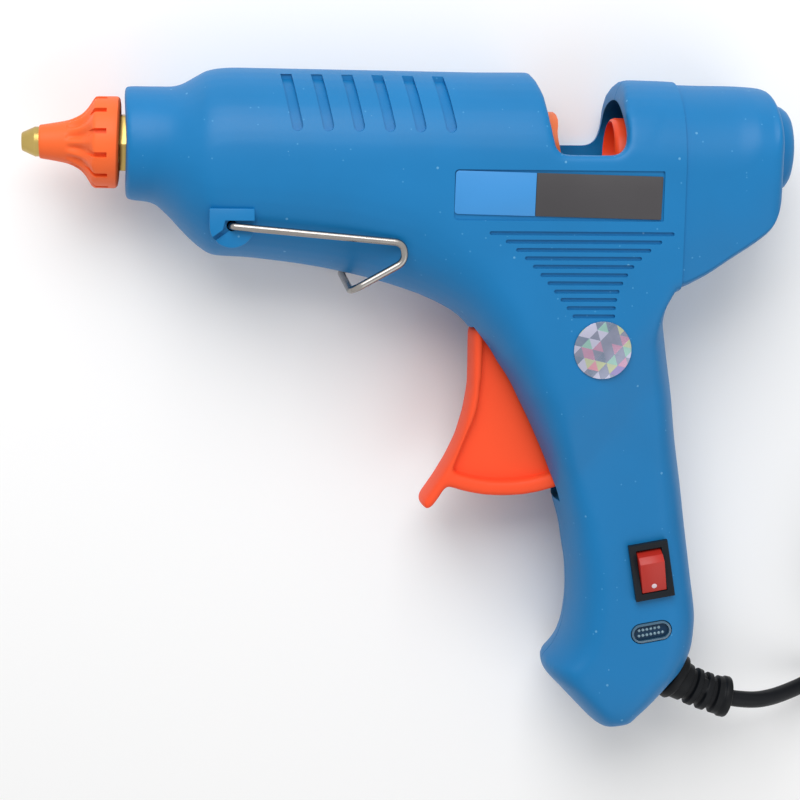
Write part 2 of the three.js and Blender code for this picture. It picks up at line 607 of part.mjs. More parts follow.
function feedCarriage() {
  const { x0, x1, y0, y1, half } = PLATE;
  const gap = ARM_TIP_R + SEAM;
  const [tip] = ARM_TIP;
  const lugs = box(tip - gap - LUG, tip + gap + LUG, y0 - 5.9, y0 + 0.6, -ARM_HALF - 0.6, ARM_HALF + 0.6)
    .subtract(box(tip - gap, tip + gap, y0 - 12, y0, -5, 5));
  const inner = LEVER.foot + SEAM;
  const ears = bothSides((z0, z1) =>
    box(LEVER_PIN[0] - 3, LEVER_PIN[0] + 3, y1 - 0.6, LEVER_PIN[1] + 1.4, z0, z1), inner, inner + EAR);
  const ring = rod(RING.x, x1, RING.radius, RING.y);
  const throat = turned([
    [RING.x - 0.5, 0], [RING.x - 0.5, 8.3], [RING.x + 5.5, STICK_R + 0.6], [x1 + 1, STICK_R + 0.6], [x1 + 1, 0],
  ], AXIS_Y - 1.4);
  const hole = pin(...LEVER_PIN, LEVER_PIN_R + PLAY, -9, 9, 12);
  return join(box(x0, x1, y0, y1, -half, half), lugs, ears, ring).subtract(throat).subtract(hole);
}

function gripLever() {
  const { x0, x1, radius, foot } = LEVER;
  const boss = pin(...LEVER_PIN, 2, -foot, foot, 16);
  const plate = rod(x0, x1, radius).add(box(x0, x1, LEVER_PIN[1] - 1.7, AXIS_Y - 3.6, -foot, foot));
  const eye = rod(30, 50, STICK_R + 0.7);
  const hole = pin(...LEVER_PIN, LEVER_PIN_R + PLAY, -foot - 1, foot + 1, 12);
  return plate.add(boss).subtract(eye).subtract(hole);
}

function extruded(path, radius, sides, steps) {
  const ring = arc(0, 0, radius, 0, 360 - 360 / sides, sides - 1);
  const shape = new THREE.Shape(ring.map(([x, y]) => new THREE.Vector2(x, y)));
  return solid(new THREE.ExtrudeGeometry(shape, { steps, extrudePath: path, bevelEnabled: false }));
}

// ---------------------------------------------------------------- stand
function standWire() {
  const side = BRACKET.z1 + 1.5;
  const leg = [
    [...STAND_PIVOT, BRACKET.z0 + 1.6, 0], [...STAND_PIVOT, side, 1.3],
    [1.4, 43.7, side, 3.4], [-14.4, 32.2, side, 3],
  ];
  const other = leg.map(([x, y, depth, bend]) => [x, y, -depth, bend]).reverse();
  return bentBar([...leg, ...other], WIRE_R, 6, 76);
}

// ---------------------------------------------------------------- switch and lamp
const ROCKER_PIVOT = GRIP_HALF - 0.9;
const ROCKER_R = 5.7;
const ROCKER_HALF = 3.35;
const ROCKER_TURN = 12; // degrees to either side of level
const SWITCH_BACK = GRIP_HALF - 11;

function switchHousing() {
  const { half, length, rim, wall } = SWITCH;
  const bezel = box(-half - rim, half + rim, -length - 1.1, length + 1.1, GRIP_HALF + 0.4, GRIP_HALF + 1.9);
  const body = box(-half, half, -length, length, SWITCH_BACK, GRIP_HALF + 0.7);
  const well = box(wall - half, half - wall, wall - length, length - wall, SWITCH_BACK + 2, GRIP_HALF + 3);
  return bezel.add(body).subtract(well);
}

// The rocker's outline runs along the switch and up out of it, with a shallow V on top.
function switchRocker() {
  const outline = [...arc(0, 0, ROCKER_R, -180, 0, 12), [5.2, 2.7], [1.2, 1.8], [-5.2, 3.1]];
  const shape = new THREE.Shape(outline.map(([x, y]) => new THREE.Vector2(x, y)));
  const geometry = new THREE.ExtrudeGeometry(shape, { depth: 2 * ROCKER_HALF, bevelEnabled: false });
  geometry.translate(0, 0, -ROCKER_HALF);
  geometry.rotateZ(THREE.MathUtils.degToRad(ROCKER_TURN));
  geometry.rotateX(Math.PI / 2);
  geometry.rotateZ(Math.PI / 2);
  geometry.translate(0, 0, ROCKER_PIVOT);
  return solid(geometry);
}

function lampLens() {
  return capsule([-LAMP.half, 0], [LAMP.half, 0], LAMP.radius, GRIP_HALF - 3.3, GRIP_HALF + 0.3);
}

function lampBulb() {
  const half = LAMP.half - 0.4;
  return capsule([-half, 0], [half, 0], LAMP.radius - 0.7, GRIP_HALF - 7.5, GRIP_HALF - 3.6);
}

// ---------------------------------------------------------------- strain relief and clamp
// Built along +X from its own origin, then leaned down out of the grip's rear edge.
const RELIEF_AT = [76.5, -77.3];
const RELIEF_LEAN = -22;
const RELIEF_R = 4.9;
const RELIEF_END_R = 5.4;
const RELIEF_END = 17.4;
const RELIEF_NECK_R = 4.1;
const RELIEF_GROOVES = 3;
const GROOVE_WIDTH = 1.2;
const RIB_PITCH = 3.4;
const COLLAR_AT = [78.3, -78.15]; // middle of the collar's outer face
const COLLAR_LEAN = -34; // the collar lies along the grip's rear edge
const COLLAR_R = 6.6;
const COLLAR_LENGTH = 2.8;
const CLAMP_X = [-13.5, -9.5];
const CLAMP_HALF = 8.5;
const CLAMP_SCREWS = [-6, 6];
const CLAMP_SCREW_R = 0.9;

function leaned(part) {
  return turnedAbout(part, RELIEF_AT, RELIEF_LEAN);
}

function collared(part) {
  return turnedAbout(part, COLLAR_AT, COLLAR_LEAN);
}

function strainRelief() {
  const [inside, wall] = [-9.2, -6.5];
  const profile = [
    [inside, 0], [inside, RELIEF_END_R], [wall, RELIEF_END_R], [wall, RELIEF_NECK_R], [0.8, RELIEF_NECK_R],
    [0.8, RELIEF_R],
  ];
  for (let i = 0; i < RELIEF_GROOVES; i++) {
    const x = 5.6 + i * RIB_PITCH;
    const end = x + GROOVE_WIDTH;
    profile.push([x, RELIEF_R], [x, RELIEF_NECK_R], [end, RELIEF_NECK_R], [end, RELIEF_R]);
  }
  profile.push([RELIEF_END - 2.4, RELIEF_R], [RELIEF_END - 2.2, RELIEF_END_R], [RELIEF_END - 0.5, RELIEF_END_R]);
  profile.push([RELIEF_END, RELIEF_END_R - 0.6], [RELIEF_END, 0]);
  const collar = collared(rod(-COLLAR_LENGTH, 0, COLLAR_R, 0, 0, 24));
  const bore = rod(inside - 1, RELIEF_END + 1, CORD_R + SEAM, 0, 0, 16);
  return leaned(turned(profile, 0, 0, 16)).add(collar).subtract(leaned(bore));
}

function clampHole(y) {
  return pin(-11.5, y, CLAMP_SCREW_R + PLAY, -9, 0, 16);
}

function cordClamp() {
  const holes = CLAMP_SCREWS.map((y) => pin(-11.5, y, CLAMP_SCREW_R + 2 * PLAY, -1, 6, 16));
  const bar = box(...CLAMP_X, -CLAMP_HALF, CLAMP_HALF, SEAM, CORD_R + 1.9);
  return leaned(bar.subtract(rod(-20, 0, CORD_R + 0.1, 0, 0, 24)).subtract(join(...holes)));
}

function clampScrew(y) {
  const under = CORD_R + 1.9 + SEAM;
  const head = pin(-11.5, y, 1.9, under, under + 1.5, 16);
  return leaned(head.add(pin(-11.5, y, CLAMP_SCREW_R, -8, under + 0.5, 12)));
}

function shellScrew([x, y]) {
  const head = pin(x, y, SCREW_HEAD_R, SCREW_SEAT - 2.2, SCREW_SEAT - SEAM, 12);
  const [long, wide] = [1.6, 0.35];
  const recess = join(
    box(x - long, x + long, y - wide, y + wide, SCREW_SEAT - 3, SCREW_SEAT - 1.1),
    box(x - wide, x + wide, y - long, y + long, SCREW_SEAT - 3, SCREW_SEAT - 1.1),
  );
  return head.subtract(recess).add(pin(x, y, SCREW_R, SCREW_SEAT - 0.6, SCREW_END, 8));
}

// ---------------------------------------------------------------- cord, coil and plug
const CORD_ROUTE = [
  [93.2, -84, -0.3], [98, -85, -1.3], [102.3, -85.6, -3], [106.5, -85.8, -5.5], [110.5, -85.7, -8.3],
  [115.3, -85.2, -11.6], [120, -84.3, -14.5], [125.2, -83.1, -16.9], [130.8, -81.9, -18.5], [134.9, -81.2, -19],
];
const COIL_SIDE = THREE.MathUtils.degToRad(49.8); // way from the cord's end to the coil's middle
const COIL_REACH = COIL_R + COIL_SECTION / 2 + 2.5;
const [CORD_END_X, CORD_END_Y] = CORD_ROUTE.at(-1);
const COIL_AT = [
  CORD_END_X + COIL_REACH * Math.cos(COIL_SIDE),
  CORD_END_Y + COIL_REACH * Math.sin(COIL_SIDE),
];
const PLUG_HALF = 6.8;
const PIN_LENGTH = 19;
const PLUG_LENGTH = 33;
const PLUG_PINS = [-9.3, 9.3];
const PLUG_Z = 0.2 + PLUG_HALF - HALF_WIDTH;
// The tail leaves the coil's rim beside its rightmost turn.
const RIM_X = COIL_AT[0] + COIL_R;
const RIM_Y = COIL_AT[1] + Math.sqrt((COIL_R + COIL_SECTION / 2) ** 2 - COIL_R ** 2) + 3;
const TAIL_ROUTE = [
  [RIM_X, RIM_Y, PLUG_Z + 3.5], [RIM_X - 0.7, RIM_Y + 6.2, PLUG_Z + 1.7],
  [RIM_X - 3.6, RIM_Y + 13.2, PLUG_Z + 0.3], [RIM_X - 6.8, RIM_Y + 18.7, PLUG_Z],
  [RIM_X - 8, RIM_Y + 24.8, PLUG_Z],
];
const PLUG_AT = [RIM_X - 8, RIM_Y + 25.2, PLUG_Z];

function cordTube(route, steps) {
  const points = route.map((point) => new THREE.Vector3(...point));
  return extruded(new THREE.CatmullRomCurve3(points, false, "centripetal"), CORD_R, 12, steps);
}

function cordCoil() {
  const half = COIL_SECTION / 2;
  const corners = [[-1, -0.6], [-0.6, -1], [0.6, -1], [1, -0.6], [1, 0.6], [0.6, 1], [-0.6, 1], [-1, 0.6]];
  const ring = [...corners, corners[0]].map(([r, z]) => new THREE.Vector2(COIL_R + half * r, half * z));
  const geometry = new THREE.LatheGeometry(ring, 28);
  geometry.rotateX(Math.PI / 2);
  geometry.translate(...COIL_AT, half + 0.2 - HALF_WIDTH);
  return solid(geometry);
}

// A flat two-pin plug, pins pointing along +Y.
function plugBody() {
  const outline = [[-4, 0], [4, 0], [5.5, 8], [17.6, 20], [17.6, PLUG_LENGTH]];
  const other = outline.map(([x, y]) => [-x, y]).reverse();
  return prism([...outline, ...other], -PLUG_HALF, PLUG_HALF);
}

function plugPin(x) {
  const geometry = new THREE.CylinderGeometry(2, 2, PIN_LENGTH, 20);
  geometry.translate(x, PLUG_LENGTH + SEAM + PIN_LENGTH / 2, 0);
  return solid(geometry);
}

// ---------------------------------------------------------------- inner leads
function lead(z) {
  const route = [[-22, 49, z], [-10, 46, z], [18, 41.5, z], [48, 32, z], [54, 12, z], [62, -12, z]];
  return bentBar([...route, [64, -34, z * 0.85]].map((point) => [...point, 5]), 0.9, 6, 24);
}

// ---------------------------------------------------------------- assembly
const gun = new THREE.Group();
gun.name = "glue_gun";
gun.position.set(-CENTRE[0], -CENTRE[1], HALF_WIDTH);

function piece(name, part, material, at = [0, 0, 0], turn = 0) {
  const item = new THREE.Mesh(surface(part), material);
  item.name = name;
  item.position.set(...at);
  item.rotation.z = THREE.MathUtils.degToRad(turn);
  gun.add(item);
}

function label(x0, x1) {
  const top = HALF_WIDTH - LABEL.depth + 0.5;
  return box(x0, x1, LABEL.y0 + LABEL_GAP, LABEL.y1 - LABEL_GAP, top - 0.35, top);
}

const { left, right } = shells();
piece("left_shell", left, LOOKS.blue);
piece("right_shell", right, LOOKS.blue);
SCREWS.forEach((at, i) => piece(`shell_screw_${i + 1}`, shellScrew(at), LOOKS.steel));
piece("light_label", label(LABEL.x0 + LABEL_GAP, LABEL_SPLIT - SEAM / 2), LOOKS.lightLabel);
piece("dark_label", label(LABEL_SPLIT + SEAM / 2, LABEL.x1 - LABEL_GAP), LOOKS.darkLabel);
piece("round_sticker", pin(...STICKER_AT, STICKER_R, HALF_WIDTH + 0.1, HALF_WIDTH + 0.4), LOOKS.foil);

piece("nozzle_tip", nozzleTip(), LOOKS.brass);
piece("nozzle_cover", nozzleCover(), LOOKS.silicone);
piece("valve_ball", solid(new THREE.SphereGeometry(BALL_R, 16, 9)), LOOKS.steel, [BALL_X, AXIS_Y, 0]);
const springStart = BALL_X + BALL_R + 0.5;
piece("valve_spring", helix(springStart, SPRING_SEAT - 0.9, SPRING_R, 0.3, 4, AXIS_Y), LOOKS.steel);
piece("spring_seat", springSeat(), LOOKS.brass);
piece("heating_chamber", heatingChamber(), LOOKS.aluminium);
piece("heater_plate", heaterPlate(), LOOKS.ceramic);
piece("heater_clip", heaterClip(), LOOKS.steel);
piece("inlet_sleeve", inletSleeve(), LOOKS.sleeve);
piece("sleeve_ring", sleeveRing(), LOOKS.steel);

piece("trigger", trigger(), LOOKS.orange);
piece("trigger_pin", pin(...PIVOT, PIN_R, -PIN_HALF, PIN_HALF), LOOKS.steel);
piece("return_spring", helix(33.6, SPRING_POST[0] - 2.3, 2.3, 0.45, 7, SPRING_POST[1]), LOOKS.steel);
piece("feed_carriage", feedCarriage(), LOOKS.orange);
piece("grip_lever", gripLever(), LOOKS.orange);
piece("lever_pin", pin(...LEVER_PIN, LEVER_PIN_R, -8.2, 8.2, 12), LOOKS.steel);
piece("stand_wire", standWire(), LOOKS.steel);

piece("switch_housing", switchHousing(), LOOKS.black, [...SWITCH_AT, 0], GRIP_TURN);
piece("switch_rocker", switchRocker(), LOOKS.red, [...SWITCH_AT, 0], GRIP_TURN);
piece("lamp_lens", lampLens(), LOOKS.lens, [...LAMP_AT, 0], GRIP_TURN);
piece("lamp_bulb", lampBulb(), LOOKS.board, [...LAMP_AT, 0], GRIP_TURN);

piece("strain_relief", strainRelief(), LOOKS.rubber);
piece("cord_tail", leaned(rod(-17, RELIEF_END - SEAM, CORD_R - 0.1, 0, 0, 20)), LOOKS.rubber);
piece("cord_clamp", cordClamp(), LOOKS.black);
CLAMP_SCREWS.forEach((y, i) => piece(`clamp_screw_${i + 1}`, clampScrew(y), LOOKS.steel));
piece("lead_1", lead(11.6), LOOKS.sleeve);
piece("lead_2", lead(-11.6), LOOKS.sleeve);

piece("power_cord", cordTube(CORD_ROUTE, 9), LOOKS.rubber);
piece("cord_coil", cordCoil(), LOOKS.rubber);
piece("plug_cord", cordTube(TAIL_ROUTE, 6), LOOKS.rubber);
piece("plug_body", plugBody(), LOOKS.black, PLUG_AT);
PLUG_PINS.forEach((x, i) => piece(`plug_pin_${i + 1}`, plugPin(x), LOOKS.brass, PLUG_AT));

const part = new THREE.Group();
part.add(gun);
export default part;
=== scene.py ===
# %% [markdown]
# # A hot-melt glue gun, lying on its side
# The packed model is the skeleton: it says where every piece sits and which body it moves with. This script
# dresses it. Each piece is drawn in millimetres about the gun's mid-plane, with X from the nozzle to the
# rear, Y up the gun and Z across it, and is brought into the frame's metres when it is finished.

# %% The frame
import math

import bmesh
import bpy
from mathutils import Matrix, Vector


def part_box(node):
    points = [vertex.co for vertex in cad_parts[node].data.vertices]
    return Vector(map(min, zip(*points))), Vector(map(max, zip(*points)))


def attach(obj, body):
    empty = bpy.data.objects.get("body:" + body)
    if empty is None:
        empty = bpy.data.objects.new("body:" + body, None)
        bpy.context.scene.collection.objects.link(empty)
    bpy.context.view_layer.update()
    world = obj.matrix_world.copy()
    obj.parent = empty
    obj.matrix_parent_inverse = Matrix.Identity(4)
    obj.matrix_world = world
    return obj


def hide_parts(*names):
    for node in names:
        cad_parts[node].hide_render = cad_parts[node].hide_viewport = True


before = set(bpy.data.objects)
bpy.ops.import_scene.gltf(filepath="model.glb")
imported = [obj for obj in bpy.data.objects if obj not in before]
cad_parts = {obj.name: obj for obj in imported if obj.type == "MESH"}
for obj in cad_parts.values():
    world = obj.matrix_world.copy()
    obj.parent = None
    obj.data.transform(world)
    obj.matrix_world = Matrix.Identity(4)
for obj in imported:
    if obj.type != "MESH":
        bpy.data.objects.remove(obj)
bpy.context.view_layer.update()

MM = 0.001
HALF_WIDTH = round(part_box("left_shell")[1].z / MM / 2, 3)  # half the thickness of the barrel
ORIGIN = Vector((-1.55, 1.5, HALF_WIDTH))  # the drawing's origin, as the frame has it
FLOOR = -HALF_WIDTH
AXIS_Y = 67.6  # height of the stick's axis
SEAM = 0.3  # gap between the two shells, and round what is set into them


def at(x, y, z=0.0):
    """A point of the drawing, in the frame's metres."""
    return (Vector((x, y, z)) + ORIGIN) * MM


# %% [markdown]
# ## Camera
# The camera stands nearly straight above the lying gun, a little towards the nozzle and the top of the
# barrel, so that the roundness of the barrel and the inner side of the stick window can be seen. A long
# lens keeps the outline close to a side view.

# %% Camera
DISTANCE = 587
LENS = 99
towards = Vector((-math.tan(math.radians(5.5)), math.tan(math.radians(10.4)), 1)).normalized()
right = (Vector((1, 0, 0)) - towards * towards.x).normalized()
up = towards.cross(right)
camera = bpy.data.objects.new("camera", bpy.data.cameras.new("camera"))
camera.data.lens = LENS
camera.data.sensor_width = 36
camera.data.clip_end = 20
turn = Matrix((right, up, towards)).transposed().to_4x4()
camera.matrix_world = Matrix.Translation(at(0, 0) + towards * DISTANCE * MM) @ turn
bpy.context.scene.collection.objects.link(camera)
bpy.context.scene.camera = camera
print("camera at", [round(value, 3) for value in camera.matrix_world.translation])


# %% [markdown]
# ## Finishing a mesh
# Every mesh ends the same way. It is scaled into metres with its place in its points, shaded smooth except
# across hard edges, given its material, and set on the body that it moves with. Where it stands for a plain
# solid of the packed model, that solid is hidden.

# %% Finishing a mesh
def into_frame(bm):
    bmesh.ops.transform(bm, matrix=Matrix.Scale(MM, 4) @ Matrix.Translation(ORIGIN), verts=bm.verts)


def finish_object(thing, material, body, stands_for=(), hard=35):
    """thing is a mesh object whose mesh is in the frame's metres."""
    thing.data.materials.clear()
    thing.data.materials.append(material)
    thing.data.shade_smooth()
    thing.data.set_sharp_from_angle(angle=math.radians(hard))
    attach(thing, body)
    if stands_for:
        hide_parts(*stands_for)
    return thing


def new_object(name, bm):
    mesh = bpy.data.meshes.new(name)
    bm.to_mesh(mesh)
    bm.free()
    thing = bpy.data.objects.new(name, mesh)
    bpy.context.scene.collection.objects.link(thing)
    return thing


def finish(name, bm, material, body, stands_for=(), hard=35):
    """Makes the finished piece from a closed bmesh drawn in millimetres."""
    into_frame(bm)
    bmesh.ops.recalc_face_normals(bm, faces=bm.faces)
    return finish_object(new_object(name, bm), material, body, stands_for, hard)


print("the drawing's origin lies at", [round(value, 4) for value in at(0, 0)])


# %% [markdown]
# ## Writing materials as sums
# A procedural material is arithmetic on patterns. The small class below wraps a socket, so that an
# expression such as `noise * 0.1 + 0.4` adds the Math nodes by itself, and `node` makes any other node from
# its type, its settings and its inputs.

# %% Sockets in sums
class Socket:
    """An output socket that can be used in sums."""

    def __init__(self, finish, output):
        self.finish, self.output = finish, output

    def sum(self, operation, *values):
        inputs = dict(enumerate(values))
        return self.finish.node("Math", {"operation": operation}, inputs)

    def __add__(self, other):
        return self.sum("ADD", self, other)

    def __sub__(self, other):
        return self.sum("SUBTRACT", self, other)

    def __rsub__(self, other):
        return self.sum("SUBTRACT", other, self)

    def __mul__(self, other):
        return self.sum("MULTIPLY", self, other)

    def __gt__(self, other):
        return self.sum("GREATER_THAN", self, other)

    def __lt__(self, other):
        return self.sum("LESS_THAN", self, other)

    __radd__, __rmul__ = __add__, __mul__


print("a socket takes +, -, *, < and >")


# %% Finishes
class Finish:
    """One material: a Principled surface and the nodes that feed it."""

    def __init__(self, name, **plain):
        self.material = bpy.data.materials.new(name)
        self.material.use_nodes = True
        self.tree = self.material.node_tree
        self.surface = self.tree.nodes["Principled BSDF"]
        self.place = self.node("TexCoord", output="Object")
        for key, value in plain.items():
            self.feed(key.replace("_", " ").title().replace("Ior", "IOR"), value)

    def node(self, kind, settings=None, inputs=None, output=0):
        """Adds a node: its settings first, then the values or links of its sockets."""
        made = self.tree.nodes.new("ShaderNode" + kind)
        for key, value in (settings or {}).items():
            if key == "stops":
                made.color_ramp.interpolation = "CONSTANT"
                ramp = made.color_ramp.elements
                while len(ramp) < len(value):
                    ramp.new(1)
                for element, (position, color) in zip(ramp, value):
                    element.position, element.color = position, color
            else:
                setattr(made, key, value)
        for key, value in (inputs or {}).items():
            self.plug(made.inputs[key], value)
        return Socket(self, made.outputs[output])

    def other(self, socket, name):
        """Another output of the node that a socket comes from."""
        return Socket(self, socket.output.node.outputs[name])

    def plug(self, socket, value):
        if isinstance(value, Socket):
            self.tree.links.new(value.output, socket)
        else:
            socket.default_value = value

    def feed(self, socket, value):
        self.plug(self.surface.inputs[socket], value)

    def noise(self, scale, detail=3.0, roughness=0.55, stretch=None):
        place = self.place
        if stretch:
            place = self.node("Mapping", None, {"Vector": place, "Scale": stretch})
        settings = {"noise_dimensions": "3D"}
        inputs = {"Vector": place, "Scale": scale, "Detail": detail, "Roughness": roughness}
        return self.node("TexNoise", settings, inputs, "Fac")

    def cells(self, scale):
        """How far a point lies from the middle of its Voronoi cell."""
        return self.node("TexVoronoi", {"feature": "F1"}, {"Vector": self.place, "Scale": scale}, "Distance")

    def mix(self, share, first, second):
        return self.node("Mix", {"data_type": "RGBA"}, {0: share, 6: first, 7: second}, 2)

    def bump(self, height, distance, strength=1.0):
        inputs = {"Height": height, "Distance": distance, "Strength": strength}
        self.feed("Normal", self.node("Bump", None, inputs))


print("a finish has", ", ".join(name for name in vars(Finish) if name[0] != "_"))


# %% Colours
def paint(red, green, blue):
    """A colour given as it looks on a screen, 0 to 255, in the linear values that a shader takes."""
    def linear(value):
        share = value / 255
        return share / 12.92 if share <= 0.04045 else ((share + 0.055) / 1.055) ** 2.4
    return (linear(red), linear(green), linear(blue), 1.0)


def tone(shade, factor):
    """A shade made darker or brighter."""
    return paint(*[min(value * factor, 255) for value in shade])


print("mid grey as a shader takes it:", round(paint(128, 128, 128)[0], 3))


# %% [markdown]
# ## Rubber and the mains lead
# The lead is a real length of round three-core cable. It comes out of the strain relief, sinks to the table
# in one soft curve and is wound away in a neat coil, with the plug beside it. One curve object with a round
# bevel keeps its thickness even, and its points are the route that the packed model uses. The coil fills
# nine places of a square stack in turn, and moves from one to the next over a third of a turn, as a cable
# does that is wound by hand.

# %% Rubber
def rubber_finish(name, shade, bumps):
    rubber = Finish(name, specular_ior_level=0.15)
    grain = rubber.noise(900, 4)
    streaks = rubber.noise(60, 3)
    rubber.feed("Base Color", rubber.mix(streaks, tone(shade, 0.8), tone(shade, 1.25)))
    rubber.feed("Roughness", streaks * 0.16 + grain * 0.1 + 0.32)
    rubber.bump(grain, 0.0001, bumps)
    return rubber.material


lead_rubber = rubber_finish("lead_rubber", (16, 18, 22), 0.25)
print(f"rubber: {len(lead_rubber.node_tree.nodes)} nodes")


# %% The lead's way
CORD_R = 2.3
COIL_AT = (157.5, -54.5)
COIL_R = 25  # middle of the turns
COIL_PITCH = 4.8
COIL_START = -108  # degrees, where the lead runs on to the coil
COIL_TURNS = 7.3
PASSING = 130  # degrees over which a turn moves to its next place
STEPS = 48  # points in each turn
LEAD_ROUTE = [
    (83.4, -80.1, 0.0), (88.4, -82.1, 0.0), (93.2, -84.0, -0.3), (98, -85, -1.3), (102.3, -85.6, -3),
    (106.5, -85.8, -5.5), (110.5, -85.7, -8.3), (115.3, -85.2, -11.6), (120, -84.3, -14.5),
    (125.2, -83.1, -16.9), (130.8, -81.9, -18.5), (136.6, -81.2, -19), (142.5, -81.6, -19),
]
TAIL_ROUTE = [
    (186.8, -46.5, -9.6), (185.1, -38.5, -10.3), (182.3, -30.7, -11.3), (179.2, -23.0, -12.5),
    (176.6, -15.7, -13.7), (175.0, -9.5, -14.4), (174.5, -4.8, -14.5),
]


def spline(points, steps):
    """Points along a smooth curve through the given ones."""
    ends = [2 * points[0] - points[1], *points, 2 * points[-1] - points[-2]]
    line = []
    for a, b, c, d in zip(ends, ends[1:], ends[2:], ends[3:]):
        for step in range(steps):
            t = step / steps
            line.append(0.5 * (2 * b + (c - a) * t + (2 * a - 5 * b + 4 * c - d) * t**2
                               + (3 * b - a - 3 * c + d) * t**3))
    return line + [points[-1]]


def ease(value, start, end):
    """From 0 at start to 1 at end, smoothly."""
    share = min(max((value - start) / (end - start), 0), 1)
    return share * share * (3 - 2 * share)


def coil_points():
    """The turns: each place is a step out from the middle and a layer, taken in the order of winding."""
    places = [(1, 0), (0, 0), (-1, 0), (-1, 1), (-1, 2), (0, 2), (0, 1), (1, 1), (1, 2)]
    whole = COIL_TURNS * 360
    first = 360 - PASSING
    gap = (whole - 2 * first - PASSING) / (len(places) - 2)  # from one move to the next
    line = []
    for step in range(round(COIL_TURNS * STEPS) + 1):
        angle = whole * step / round(COIL_TURNS * STEPS)
        moves = min(max((angle - first) / gap, 0), len(places) - 2)
        place = int(moves)
        passed = ease(angle - first - place * gap, 0, PASSING)
        (out, layer), (next_out, next_layer) = places[place], places[place + 1]
        radius = COIL_R + COIL_PITCH * (out + (next_out - out) * passed)
        height = FLOOR + CORD_R + 0.2 + COIL_PITCH * (layer + (next_layer - layer) * passed)
        way = math.radians(COIL_START + angle)
        line.append(Vector((*COIL_AT, height)) + radius * Vector((math.cos(way), math.sin(way), 0)))
    return line


turns = coil_points()
print(f"coil: {len(turns)} points in {COIL_TURNS} turns")


# %% The mains lead
def curve_object(name, points, radius, sides=5):
    """A round bar or cable along points of the drawing."""
    curve = bpy.data.curves.new(name, "CURVE")
    curve.dimensions = "3D"
    curve.bevel_depth = radius * MM
    curve.bevel_resolution = sides
    curve.use_fill_caps = True
    run = curve.splines.new("POLY")
    run.points.add(len(points) - 1)
    for point, place in zip(run.points, points):
        point.co = (*at(*place), 1)
    thing = bpy.data.objects.new(name, curve)
    bpy.context.scene.collection.objects.link(thing)
    return thing


route = [Vector(point) for point in LEAD_ROUTE] + [turns[0], turns[2]]
tail = [turns[-3], turns[-1]] + [Vector(point) for point in TAIL_ROUTE]
whole_lead = spline(route, 6)[:-6] + turns[1:-1] + spline(tail, 6)[6:]
lead_length = sum((b - a).length for a, b in zip(whole_lead, whole_lead[1:])) * MM
mains_lead = curve_object("mains_lead", whole_lead, CORD_R)
mains_lead.data.materials.append(lead_rubber)
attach(mains_lead, "housing")
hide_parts("power_cord", "cord_coil", "plug_cord")
print(f"mains lead: {lead_length:.3f} m in {len(whole_lead)} points")


# %% [markdown]
# ## Solids and cuts
# A moulded case is easiest to think of as solids that are joined and cut, so these helpers give the plain
# solids: a flat outline pulled to a depth, a pin, a slot with round ends, and a profile turned about the
# stick's axis. Each is a closed bmesh. The Boolean modifier joins and cuts them, and its Manifold solver is
# quick even on a mesh of many thousand faces.

# %% Blocks, outlines and pins
def box(x0, x1, y0, y1, z0, z1):
    bm = bmesh.new()
    middle = Vector((x0 + x1, y0 + y1, z0 + z1)) / 2
    size = Matrix.Diagonal((x1 - x0, y1 - y0, z1 - z0, 1))
    bmesh.ops.create_cube(bm, size=1, matrix=Matrix.Translation(middle) @ size)
    return bm


def prism(outline, z0, z1):
    """A flat outline at z0, pulled to z1."""
    bm = bmesh.new()
    face = bm.faces.new([bm.verts.new((x, y, z0)) for x, y in outline])
    pulled = bmesh.ops.extrude_face_region(bm, geom=[face], use_keep_orig=True)
    far_side = [item for item in pulled["geom"] if isinstance(item, bmesh.types.BMVert)]
    bmesh.ops.translate(bm, verts=far_side, vec=(0, 0, z1 - z0))
    bmesh.ops.recalc_face_normals(bm, faces=bm.faces)
    return bm


def arc(x, y, radius, start, end, steps=8):
    angles = [math.radians(start + (end - start) * step / steps) for step in range(steps + 1)]
    return [(x + radius * math.cos(angle), y + radius * math.sin(angle)) for angle in angles]


def pin(x, y, radius, z0, z1, sides=32):
    """A disc or pin along Z."""
    bm = bmesh.new()
    place = Matrix.Translation((x, y, (z0 + z1) / 2))
    bmesh.ops.create_cone(bm, cap_ends=True, segments=sides, radius1=radius, radius2=radius, depth=z1 - z0,
                          matrix=place)
    return bm


def capsule(start, end, radius, z0, z1, steps=12):
    """A slot with round ends, from one end's middle to the other's."""
    lean = math.degrees(math.atan2(end[1] - start[1], end[0] - start[0]))
    far_end = arc(*end, radius, lean - 90, lean + 90, steps)
    return prism(far_end + arc(*start, radius, lean + 90, lean + 270, steps), z0, z1)


print("a slot has", len(capsule((0, 0), (5, 0), 1, 0, 1).faces), "faces")


# %% Moving a solid
def moved(bm, way):
    bmesh.ops.translate(bm, verts=bm.verts, vec=way)
    return bm


def swung(bm, degrees, axis, about=(0, 0, 0)):
    """Turns a solid about X, Y or Z through a point."""
    turn = Matrix.Rotation(math.radians(degrees), 3, axis)
    bmesh.ops.rotate(bm, verts=bm.verts, cent=about, matrix=turn)
    return bm


def turned_about(bm, point, degrees):
    """Turns a solid about its own origin and sets that origin at a point."""
    turn = Matrix.Rotation(math.radians(degrees), 4, "Z")
    bmesh.ops.transform(bm, matrix=Matrix.Translation((*point, 0)) @ turn, verts=bm.verts)
    return bm


corners = swung(box(-1, 1, -1, 1, 0, 1), 45, "Z").verts
print("a cube turned by 45 degrees reaches", round(max(corner.co.x for corner in corners), 3))


